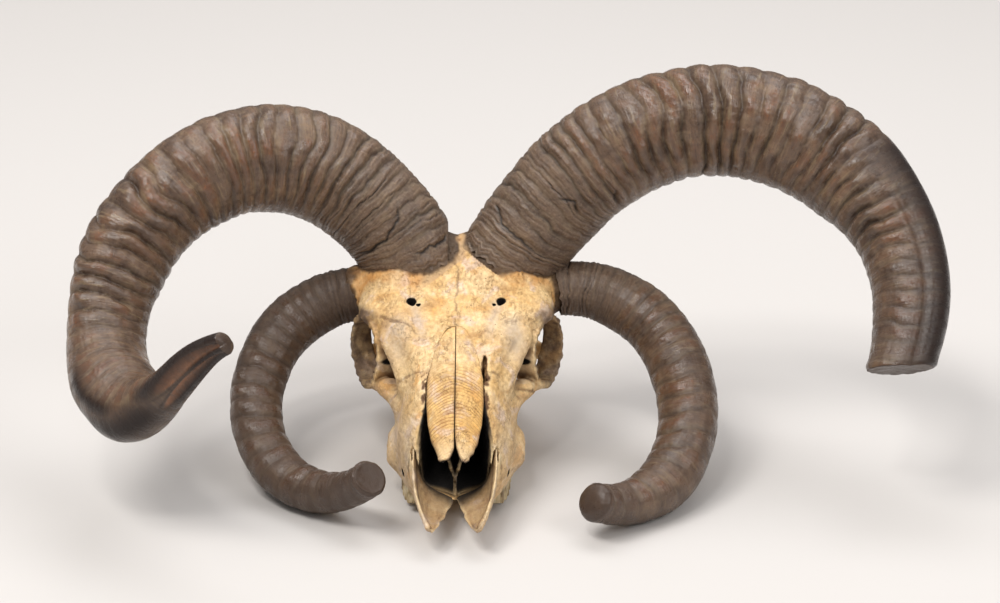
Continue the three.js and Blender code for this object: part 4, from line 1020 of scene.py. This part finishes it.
def bone_relief(points, normal, field):
    """How far each point of the bone moves along its normal, and the layers for its colour."""
    x, y, z = points.T
    ax = np.abs(x)
    seed = 31

    def rough(size, number):
        return noise(x, y, z, size, seed + number)

    def holed(size, density, number):
        return speckle(x, y, z, size, density, seed + number)

    open5 = np.clip(1 - sample(field, points + normal * 5) / 5, 0, 1)
    open2 = np.clip(1 - sample(field, points + normal * 2) / 2, 0, 1)
    edge = np.clip(1 + sample(field, points - normal * 2) / 2, 0, 1)
    lift = 0.55 * fbm(x, y, z, 15, 2, seed) + 0.22 * fbm(x, y, z, 5, 3, seed + 1)
    side_face = step01(np.abs(normal[:, 0]), 0.35, 0.75) * (1 - step01(y, -8, 8))
    lift += 0.2 * side_face * noise(x, y + 0.35 * z, z, (2.0, 9.0, 1.5), seed + 2)
    top_face = step01(normal[:, 2], 0.3, 0.75) * step01(z, 70, 84)
    ray = np.arctan2(y - 6, ax - 34)
    reach = np.hypot(ax - 34, y - 6)
    lift += 0.14 * top_face * noise(ray * 14, reach, z * 0, (1, 16, 1), seed + 3)
    # supraorbital grooves that run forwards from the foramina
    for line, width, deep in (
        ([(27.2, -1), (26, -9), (23.5, -17), (20.5, -26)], 2.1, 1.05),
        ([(23.2, -2), (22, -9), (20, -15)], 1.3, 0.6),
        ([(29, 3), (31, 9), (30, 15)], 1.5, 0.45),
    ):
        away = near_line(ax, y, line)
        tail = 1 - step01(-y, 12, 28)
        lift -= deep * bell(away, width) * np.clip(tail, 0.2, 1) * (z > 80)
    # midline and other sutures: thin zigzag grooves
    zig = 0.9 * noise(y, y * 0, y * 0, 3.0, seed + 4) + 0.5 * noise(y, y * 0, y * 0, 1.2, seed + 5)
    midline = bell(x - zig, 0.75) * (y > -22) * (y < 60) * (z > 84)
    suture = midline.copy()
    jitter = 0.7 * rough(2.4, 6) + 0.5 * rough(1.1, 7)
    for line, low, high in TOP_SUTURES:
        m = (z > low) & (z < high)
        suture[m] = np.maximum(suture[m], bell(near_line(ax[m], y[m], line) + jitter[m], 0.7))
    for line, low, high in SIDE_SUTURES:
        m = (ax > low) & (ax < high)
        suture[m] = np.maximum(suture[m], bell(near_line(y[m], z[m], line) + jitter[m], 0.7))
    suture *= (1 - step01(open2, 0.6, 0.9)) * np.clip(0.45 + 0.9 * rough(7, 14), 0.1, 0.8)
    suture = np.maximum(suture, 0.6 * midline * np.clip(0.6 + rough(9, 15), 0.2, 1))
    lift -= 0.35 * suture
    # pits and pores, larger and closer where the bone is rugged
    horn_gap = np.minimum.reduce([horn_distance(points, name, 0.14) for name in HORNS])
    warp = 4.5 * rough(9, 16) + 2.0 * rough(3.2, 17)
    collar = 1 - step01(horn_gap + warp, 1.5, 12)
    side_gap = ax - np.interp(-y, [-r[0] for r in NASAL], [r[1] for r in NASAL])
    strip = bell(side_gap - 1.6 + 0.3 * warp, 2.6) * step01(-y, 42, 54)
    strip = strip * (1 - step01(-y, 92, 99)) * (z > 44)
    strip = strip * np.where(x > 0, 1.0, 0.75)
    cheek = step01(np.abs(y + 47), 16, 6) * (ax > 30)
    rugged = np.clip(collar + strip + step01(y, 66, 82) * 0.7 + cheek * 0.6, 0, 1)
    pits = holed(3.1, 0.10, 8) * 0.5 + holed(1.7, 0.13, 9) * 0.25
    deep_pits = holed(3.6, 0.42, 10)
    sparse = step01(rough(12, 11), -0.1, 0.5)
    lift -= pits * (0.3 + 0.7 * sparse) + 0.9 * deep_pits * rugged
    lift += rugged * 0.5 * fbm(x, y, z, 2.6, 2, seed + 12) - 1.1 * strip * holed(2.4, 0.4, 18)
    s, r = orbit_frame(ax, y, z)
    in_orbit = (1 - step01(r, 19, 23)) * step01(s, -34, -26) * (1 - step01(s, 1, 4))
    lift += in_orbit * 0.5 * fbm(x, y, z, 4, 2, seed + 13)
    # painted shade behind the orbit's ring and under its top
    ring_back_shade = (1 - step01(r, 26, 30)) * step01(s, -34, -26) * (z > 46)
    ring_back_shade = ring_back_shade * step01(y + 3 * jitter, -13, -4)
    in_orbit = np.maximum(in_orbit, ring_back_shade)
    teeth = np.zeros(len(x))
    m = (z < 19) & (ax > 15) & (ax < 42) & (y < 0) & (y > -90)
    teeth[m] = 1 - step01(tooth_body(ax[m], y[m], z[m]), 0.15, 0.9)
    lift = lift * (1 - 0.75 * teeth)
    lift = np.clip(lift, -1.8, 1.2)
    hole = np.full(len(x), 9.0)
    for a, b, ra, rb in FORAMINA:
        hole = np.minimum(hole, limb(ax, y, z, a, b, ra, rb))
    # painted black shade inside the foramina and deep in the nasal passage
    black_shade_and_line = 1 - step01(hole, 0.15, 0.75)
    inside = 1 - step01(block(x, y, z, PASSAGE, 4), 1.0, 2.4)
    black_shade_and_line = np.maximum(black_shade_and_line, inside * step01(y + 10 * np.clip(1 - ax / 18, 0, 1), -96, -80))
    grey = np.clip(bell(np.hypot(ax - 36, (y + 22) * 0.8), 9) * (z > 62) * 0.8, 0, 1)
    grey = np.maximum(grey, side_face * np.where(x > 0, 0.25, 0.5) * (1 - step01(z, 40, 74)))
    grey = np.maximum(grey, 0.7 * bell(near_line(ax, y, [(26, -3), (21, -24)]), 4.0) * (z > 80))
    holes = 0.75 + 0.9 * holed(2.4, 0.4, 18) + 0.8 * rough(2.2, 19)
    holes = step01(strip * (holes + 0.5 * rough(6, 20)), 0.3, 0.8)
    # painted shade: darker where the bone is enclosed, in the pits and in the holes of the spongy
    # strip
    cavity_shade = 0.55 * open5 + 0.6 * open2 + 0.5 * pits + 0.6 * deep_pits * rugged + 0.8 * holes
    layers = dict(
        cavity_shade=np.clip(cavity_shade, 0, 1), edge=edge, suture=np.maximum(suture, 1.1 * holes),
        collar=collar, black_shade_and_line=black_shade_and_line, socket_shade=in_orbit,
        crown=collar * (1 - step01(ax + 0.5 * warp, 16, 26)),
        # painted shade where the horn sheaths meet the bone
        crevice_shade=1 - step01(horn_gap + 0.25 * warp, 0.3, 2.4), grey=grey, teeth=teeth,
    )
    return lift, layers


def make_cranium(material):
    field = sampled_field()
    points, quads = surface_net(field)
    normal = normals_of(points, quads)
    normal = smooth_along(points, quads, normal, 2)
    normal /= np.maximum(np.linalg.norm(normal, axis=1), 1e-9)[:, None]
    lift, layers = bone_relief(points, normal, field)
    points = points + normal * lift[:, None]
    points[:, 2] = np.maximum(points[:, 2], LOWEST)
    return mesh_piece("skull_bone", points, quads, layers, material, ["cranium"])


def closed_strip(sections):
    """A closed skin from sections of equal point count, its two ends shut by shrinking rings."""
    first, last = sections[:1], sections[-1:]
    for r in (0.66, 0.33, 0.02):
        sections = np.concatenate([first.mean(1, keepdims=True) * (1 - r) + first * r, sections])
        sections = np.concatenate([sections, last.mean(1, keepdims=True) * (1 - r) + last * r])
    rows, cols = sections.shape[:2]
    flat = sections.reshape(-1, 3)
    centre = np.repeat(sections.mean(1), cols, 0)
    return flat, outward(flat, grid_quads(rows, cols), centre), rows


def padded(values, rows):
    """Values per section, repeated over the rings that shut the two ends."""
    pad = (rows - len(values)) // 2
    return np.concatenate([values[:1].repeat(pad, 0), values, values[-1:].repeat(pad, 0)]).ravel()


def make_nasal(name, side, material, node):
    """A nasal bone: a thin arched splint with fine cross wrinkles and a worn, ragged tip."""
    step = 0.45
    seed = 60 + side
    tip = NASAL[-1][0] + (1.5 if side < 0 else 0)
    y = np.linspace(NASAL[0][0], tip, int((NASAL[0][0] - tip) / step))
    n = 52
    u = np.linspace(0, 1, n)[None, :]
    source = np.where(y < -100, y - (1.5 if side < 0 else 0) * (y + 100) / (tip + 100), y)
    wo, wi, ridge, drop = (v[:, None] for v in read_rows(NASAL, source, range(1, 5), -1))
    blunt = 1.6 * step01(-y, 104, 112)[:, None] if side < 0 else 0.0
    inner = np.maximum(0.3, wi - 1.2) if side < 0 else wi
    rag = 0.5 * noise(y, y * 0, y * 0, 3.5, seed) * step01(-y, 88, 104)
    outer = wo + blunt + rag[:, None]
    yy = np.repeat(y[:, None], n, 1)
    # the tip is broken off unevenly
    chip = 1.3 * noise(u * 10 + 0 * yy, 0 * yy, 0 * yy, 2.2, seed + 2) * step01(-yy, 106, 114)
    x_top = inner + (outer - inner) * u
    x_top = np.broadcast_to(x_top, yy.shape)
    wave = noise(x_top, yy, yy * 0, 9.0, seed + 3) + 0.45 * noise(x_top, yy, yy * 0, 3.2, seed + 8)
    wrinkle = np.sin((yy + 0.9 * wave + 0.015 * x_top ** 2) * 2 * math.pi / 2.1)
    joined = step01(-yy, 46, 64)
    coarse = noise(x_top * 0.35, yy, yy * 0, 2.6, seed + 4)
    wrinkled = 0.62 + 0.38 * step01(noise(x_top, yy, yy * 0, (7, 5, 5), seed + 5), -0.7, 0.2)
    wrinkled = wrinkled * step01(-yy, 40, 54) * (1 - 0.4 * step01(-yy, 94, 106))
    rise = 0.16 * wrinkle * wrinkled
    rise = rise - 0.3 * speckle(x_top, yy, yy * 0, 1.7, 0.25, seed + 9) * step01(-yy, 84, 100)
    rise = rise + 0.16 * coarse + 0.35 * noise(x_top, yy, yy * 0, 14, seed + 6)
    rise = rise - 0.25 * speckle(x_top, yy, yy * 0 + 0.5, 2.2, 0.08, seed + 7)
    rise = rise - 0.35 * bell((1 - u) * (outer - inner) - 0.4, 0.9) * joined
    z_top = ridge - drop * u * u + rise
    thick = NASAL_THICK * (1 - 0.35 * u * u) * np.clip(1 - 0.35 * step01(-yy, 100, 114), 0, 1)
    z_low = ridge - drop * u * u - thick
    top = np.stack([side * x_top, yy + chip, z_top], axis=-1)
    low = np.stack([side * x_top, yy + chip, z_low], axis=-1)[:, ::-1]
    sections = np.concatenate([top, low], axis=1)
    points, quads, rows = closed_strip(sections)

    def fill(values):
        return padded(np.concatenate([values, values[:, ::-1]], axis=1), rows)

    rim = (1 - step01(np.minimum(u, 1 - u) * (outer - inner), 0.1, 1.3)) * joined
    end = step01(-yy, 92, 113)
    low_side = padded(np.repeat([[0.0] * n + [1.0] * n], len(y), 0), rows)
    # painted shade: the underside near-black, and darker along the rims where the nasals meet
    layers = dict(
        cavity_shade=fill(np.clip(0.12 + 0.3 * rim - 0.15 * coarse, 0, 1)) + 0.3 * low_side,
        edge=fill(0.5 * end), suture=fill(0.45 * rim), black_shade_and_line=0.97 * low_side,
        grey=fill(0.35 * end), wrinkle=fill(0.5 + 0.5 * wrinkle * wrinkled),
        yellow=fill((1 - 0.45 * end) * (0.15 + 0.85 * joined)) * (1 - low_side),
    )
    return mesh_piece(name, points, quads, layers, material, [node])


def plate_sections(side, seed):
    """The front plate of the upper jaw, bent from its outer edge down and in to the midline."""
    step = 0.5
    y = np.arange(PREMAXILLA[0][0], PREMAXILLA[-1][0] + 0.01, step)
    x0, z0, x1, z1, x2, z2, half = (v[:, None] for v in read_rows(PREMAXILLA, y, range(1, 8)))
    n = 56
    v = np.linspace(0, 1, n)[None, :]
    # a quadratic bend that passes through the corner at its middle
    mx, mz = 2 * x1 - (x0 + x2) / 2, 2 * z1 - (z0 + z2) / 2
    px = (1 - v) ** 2 * x0 + 2 * v * (1 - v) * mx + v * v * x2
    pz = (1 - v) ** 2 * z0 + 2 * v * (1 - v) * mz + v * v * z2
    tx = 2 * (1 - v) * (mx - x0) + 2 * v * (x2 - mx)
    tz = 2 * (1 - v) * (mz - z0) + 2 * v * (z2 - mz)
    size = np.hypot(tx, tz)
    nx, nz = -tz / size, tx / size
    yy = np.repeat(y[:, None], n, 1)
    zero = yy * 0
    rag = 0.9 * noise(yy, zero, zero, 4.0, seed) + 0.5 * noise(yy, zero, zero, 1.6, seed + 1)
    at_rim, at_inner = np.clip(1 - v * 5, 0, 1), np.clip(v * 5 - 4, 0, 1)
    inner_rag = 1.1 * noise(yy, zero, zero, 5.0, seed + 7)
    out_x = px - tx / size * rag * at_rim * 0.8 + tx / size * inner_rag * at_inner * 0.7
    out_z = pz - tz / size * rag * at_rim * 0.8
    taper = np.sqrt(np.clip(np.minimum(v, 1 - v) * 8, 0.12, 1))
    thick = half * taper
    rough = 0.22 * noise(out_x, yy, out_z, (2, 7, 2), seed + 2)
    rough = rough + 0.2 * noise(out_x, yy, out_z, 4, seed + 3)
    rough = rough - 0.3 * speckle(out_x, yy, out_z, 2.4, 0.1, seed + 4)
    wave = 1.1 * noise(out_x * 2, zero, out_z, 3.0, seed + 5)
    tip = yy + (1 - step01(yy, -138, -131)) * wave
    faces = []
    for move in (thick + rough, -(thick + rough * 0.6)):
        faces.append(np.stack([side * (out_x + nx * move), tip, out_z + nz * move], axis=-1))
    return np.concatenate([faces[0], faces[1][:, ::-1]], axis=1), v, yy


def make_premaxilla(name, side, material, node):
    sections, v, yy = plate_sections(side, 80 + side)
    points, quads, rows = closed_strip(sections)
    full = np.broadcast_to(v, yy.shape)

    def trough_only(values):
        return np.concatenate([values * 0, values[:, ::-1]], axis=1)

    trough = trough_only(full * 0 + 1)
    rim = 1 - step01(np.minimum(full, 1 - full), 0.0, 0.07)
    rim = np.concatenate([rim, rim[:, ::-1]], axis=1)
    warp = 3.0 * noise(yy * 0.4, full * 40, yy * 0, 6.0, 90 + side)
    # painted shade: the trough darkens further back and further in, towards the nasal passage
    shade = trough_only(step01(yy + warp + 24 * full, -90, -72) * step01(full, 0.03, 0.1))
    line = 0.7 + 0.3 * noise(yy, full * 9, yy * 0, 3.0, 95)
    line = trough_only(bell(full - 0.13, 0.035) * line)
    # painted shade darkens the trough and blackens its far end; a dark line runs just inside the
    # rim
    layers = dict(
        cavity_shade=np.clip(0.25 + 0.34 * trough - 0.34 * rim, 0, 1), edge=rim * 0.6, suture=line,
        grey=0.25 + 0.35 * (1 - trough), black_shade_and_line=np.maximum(0.95 * shade, 0.6 * line),
        socket_shade=0.1 + 0.14 * trough - 0.1 * rim, wrinkle=trough * 0 + 0.5,
    )
    layers = {key: padded(values, rows) for key, values in layers.items()}
    return mesh_piece(name, points, quads, layers, material, [node])


# ------------------------------------------------------------------ materials
def bone_material():
    g = Graph("old_bone")
    at = g.place()
    broad = g.noise(at, 30, 5, 0.6, 0.6)
    cloud = g.noise(at, 10, 6, 0.62, 0.4)
    grain = g.noise(at, 2.2, 5, 0.6)
    streaks = g.noise(g.stretch(at, (1, 0.16, 1)), 2.6, 4, 0.6)
    g.colour = g.ramp(broad, (0.30, 210, 164, 100), (0.45, 232, 192, 130), (0.60, 240, 208, 156),
                      (0.74, 230, 198, 152))
    # clouds of colour
    g.coat((230, 182, 100), g.layer("yellow"), 0.62)
    g.coat((226, 202, 184), g.spread(g.noise(at, 15, 5, 0.6, 0.5), 0.54, 0.66), 0.72)
    g.coat((228, 168, 92), g.spread(g.noise(at, 19, 5, 0.6, 0.5), 0.53, 0.68), 0.72)
    g.coat((178, 132, 80), g.spread(cloud, 0.52, 0.68), 0.54)
    g.coat((250, 232, 194), g.spread(cloud, 0.42, 0.30), 0.42)
    # grain and fibres
    g.coat((176, 132, 84), g.spread(streaks, 0.42, 0.66, 0.0, 0.40))
    g.coat((146, 104, 62), g.spread(grain, 0.36, 0.62, 0.29, 0.0))
    fibre = g.noise(g.stretch(at, (1, 0.4, 1)), 3.4, 5, 0.62, 0.8)
    fibre = g.math("ABSOLUTE", g.math("SUBTRACT", fibre, 0.5))
    fibre = g.times(g.spread(fibre, 0.022, 0.004), g.spread(g.noise(at, 13, 3), 0.46, 0.60))
    g.coat((140, 92, 50), fibre, 0.46)
    # weathered, worn and stained places
    uneven = g.spread(g.add(cloud, grain), 0.7, 1.15, 0.45, 1.0)
    g.coat((196, 182, 166), g.layer("grey"), uneven, 0.80)
    g.coat((248, 230, 186), g.layer("edge"), 0.35)
    g.coat((206, 142, 72), g.layer("collar"), g.spread(cloud, 0.35, 0.65, 0.45, 1.0), 0.70)
    g.coat((186, 158, 122), g.layer("crown"), 0.70)
    g.coat((150, 100, 50), g.spread(g.layer("wrinkle"), 0.40, 0.06, 0.0, 0.72), g.layer("yellow"))
    speck = g.spread(g.cells(at, 3.4), 0.18, 0.06)
    g.coat((100, 66, 36), speck, g.spread(g.noise(at, 17, 3), 0.48, 0.62), 0.8)
    # painted shade in hollows, in the orbits and where the horns meet the bone, dark sutures, and
    # black painted shade inside holes and the passage
    # painted shade in hollows, pits and holes
    deep = g.math("POWER", g.layer("cavity_shade"), 1.35)
    g.coat((104, 72, 44), deep, 0.86)
    # the orbits' grey-brown walls deepened by painted shade, and painted shade in the plates'
    # troughs
    uneven = g.spread(g.noise(at, 9, 5, 0.6), 0.34, 0.62, 0.98, 0.62)
    g.coat((98, 78, 63), g.layer("socket_shade"), uneven)
    g.coat((86, 54, 30), g.layer("suture"), 0.8)
    # painted shade where the horn sheaths meet the bone
    g.coat((52, 34, 22), g.layer("crevice_shade"), 0.9)
    enamel = g.ramp(g.noise(g.stretch(at, (1, 1, 0.25)), 2.4, 4, 0.6),
                    (0.35, 92, 74, 50), (0.5, 186, 166, 128), (0.7, 226, 214, 184))
    g.colour = g.mix(g.times(g.layer("teeth"), 0.9), g.colour, enamel)
    # near-black painted shade inside holes, the passage, under the nasals and in the plates'
    # troughs, with the dark line inside the plates' rims
    g.coat((18, 14, 11), g.layer("black_shade_and_line"))
    rough = g.add(g.spread(cloud, 0.3, 0.7, 0.50, 0.68), g.times(deep, 0.2))
    rough = g.add(rough, g.times(g.layer("black_shade_and_line"), 0.3))
    pores = g.spread(g.cells(at, 1.5), 0.05, 0.3)
    fine = g.bump(g.add(g.times(pores, 0.6), g.noise(at, 0.8, 4, 0.65)), 0.6, 0.00025)
    height = g.add(streaks, g.times(g.noise(at, 4.5, 5, 0.6), 1.3))
    height = g.math("SUBTRACT", height, g.times(fibre, 0.6))
    g.surface(Base_Color=g.colour, Roughness=rough, Specular_IOR_Level=0.38,
              Normal=g.bump(height, 0.7, 0.0008, Normal=fine))
    return g.mat


def horn_material():
    g = Graph("horn_sheath")
    at = g.layer("hpos", True)
    streak = g.noise(g.stretch(at, (1, 1, 0.07)), 3.2, 6, 0.62)
    hair = g.noise(g.stretch(at, (1, 1, 0.05)), 0.8, 4, 0.6)
    patch = g.noise(at, 26, 5, 0.6, 0.5)
    mottle = g.noise(at, 6.5, 7, 0.68, 0.5)
    fleck = g.noise(at, 1.6, 5, 0.65)
    bands = g.noise(g.stretch(at, (0.12, 0.12, 1)), 2.2, 6, 0.66, 0.2)
    ring, away, along, valley, shine, hollow, bark, dim = (g.layer(name) for name in (
        "ring", "away", "along", "valley", "shine", "hollow", "bark", "dim"))
    tone = g.add(g.times(mottle, 0.35), g.times(patch, 0.65))
    g.colour = g.ramp(tone, (0.38, 76, 58, 46), (0.46, 96, 75, 60), (0.54, 112, 88, 69),
                      (0.64, 134, 110, 85))
    g.coat((66, 51, 44), g.spread(streak, 0.42, 0.66, 0.0, 0.20))
    g.coat((148, 128, 98), g.spread(bands, 0.52, 0.68, 0.0, 0.42))
    g.coat((62, 48, 41), g.spread(bands, 0.46, 0.34, 0.0, 0.42))
    # rubbed, reddish crests on the front
    worn = g.times(g.spread(ring, 0.55, 0.95), g.spread(patch, 0.44, 0.60))
    worn = g.times(worn, g.spread(away, 0.10, 0.95))
    worn = g.times(worn, g.spread(mottle, 0.36, 0.58, 0.35, 1.0))
    worn = g.times(worn, g.spread(along, 0.12, 0.3, 0.15, 1.0))
    g.coat((94, 54, 36), worn, 0.68)
    g.coat((158, 96, 54), worn, g.spread(fleck, 0.54, 0.62, 0.0, 0.35))
    # the inner side, darker as painted shade, then the base, growth lines and valleys
    g.coat((72, 57, 46), g.spread(away, 0.45, -0.35), g.spread(streak, 0.36, 0.6, 1.0, 0.7), 0.55)
    g.coat((98, 79, 65), bark, 0.40)
    g.coat((154, 134, 110), bark, g.spread(fleck, 0.44, 0.66, 0.0, 0.30))
    g.coat((56, 43, 36), g.spread(g.layer("lines"), 0.6, 0.05, 0.0, 0.46))
    # tan dust in the ring valleys, then painted shade darkening their bottoms
    g.coat((150, 134, 108), valley, g.spread(mottle, 0.42, 0.58), 0.35)
    g.coat((46, 35, 30), valley, 0.55)
    # darker towards the tip, the keels, the dim horns and the cracks
    g.coat((68, 56, 51), g.spread(along, 0.80, 0.97, 0.0, 0.45))
    g.coat((140, 94, 64), hollow, g.spread(mottle, 0.4, 0.6, 0.45, 0.95))
    g.coat((38, 30, 28), shine, 0.96)
    g.coat((66, 50, 39), dim, 0.9)
    g.coat((28, 21, 17), g.layer("crack"), 0.94)
    rough = g.add(g.spread(mottle, 0.36, 0.62, 0.14, 0.30), g.spread(ring, 0.95, 0.3, -0.04, 0.18))
    rough = g.add(rough, g.times(bark, 0.22))
    rough = g.math("SUBTRACT", rough, g.times(worn, 0.10))
    rough = g.add(rough, g.times(dim, 0.16))
    rough = g.math("SUBTRACT", rough, g.times(shine, 0.05))
    growth = g.noise(g.stretch(at, (0.09, 0.09, 1)), 0.75, 4, 0.6)
    fine = g.bump(g.add(g.times(hair, 0.4), g.add(growth, fleck)), 0.6, 0.0003)
    height = g.add(g.times(streak, 0.35), g.add(bands, g.times(mottle, 0.8)))
    g.surface(Base_Color=g.colour, Roughness=rough,
              Specular_IOR_Level=g.math("SUBTRACT", 0.5, g.times(shine, 0.28)),
              Normal=g.bump(height, 0.5, 0.0008, Normal=fine))
    return g.mat


BONE = bone_material()
HORN = horn_material()
make_cranium(BONE)
SIDES = (("left", 1), ("right", -1))
for end, side in SIDES:
    make_nasal("nasal_" + end[0], side, BONE, "nasal_bone_" + end)
for end, side in SIDES:
    make_premaxilla("premax_" + end[0], side, BONE, "premaxilla_" + end)
for name, h in HORNS.items():
    skin, faces, layers = horn_mesh(name, h)
    mesh_piece(name.replace("horn", "sheath"), skin, faces, layers, HORN, [name])
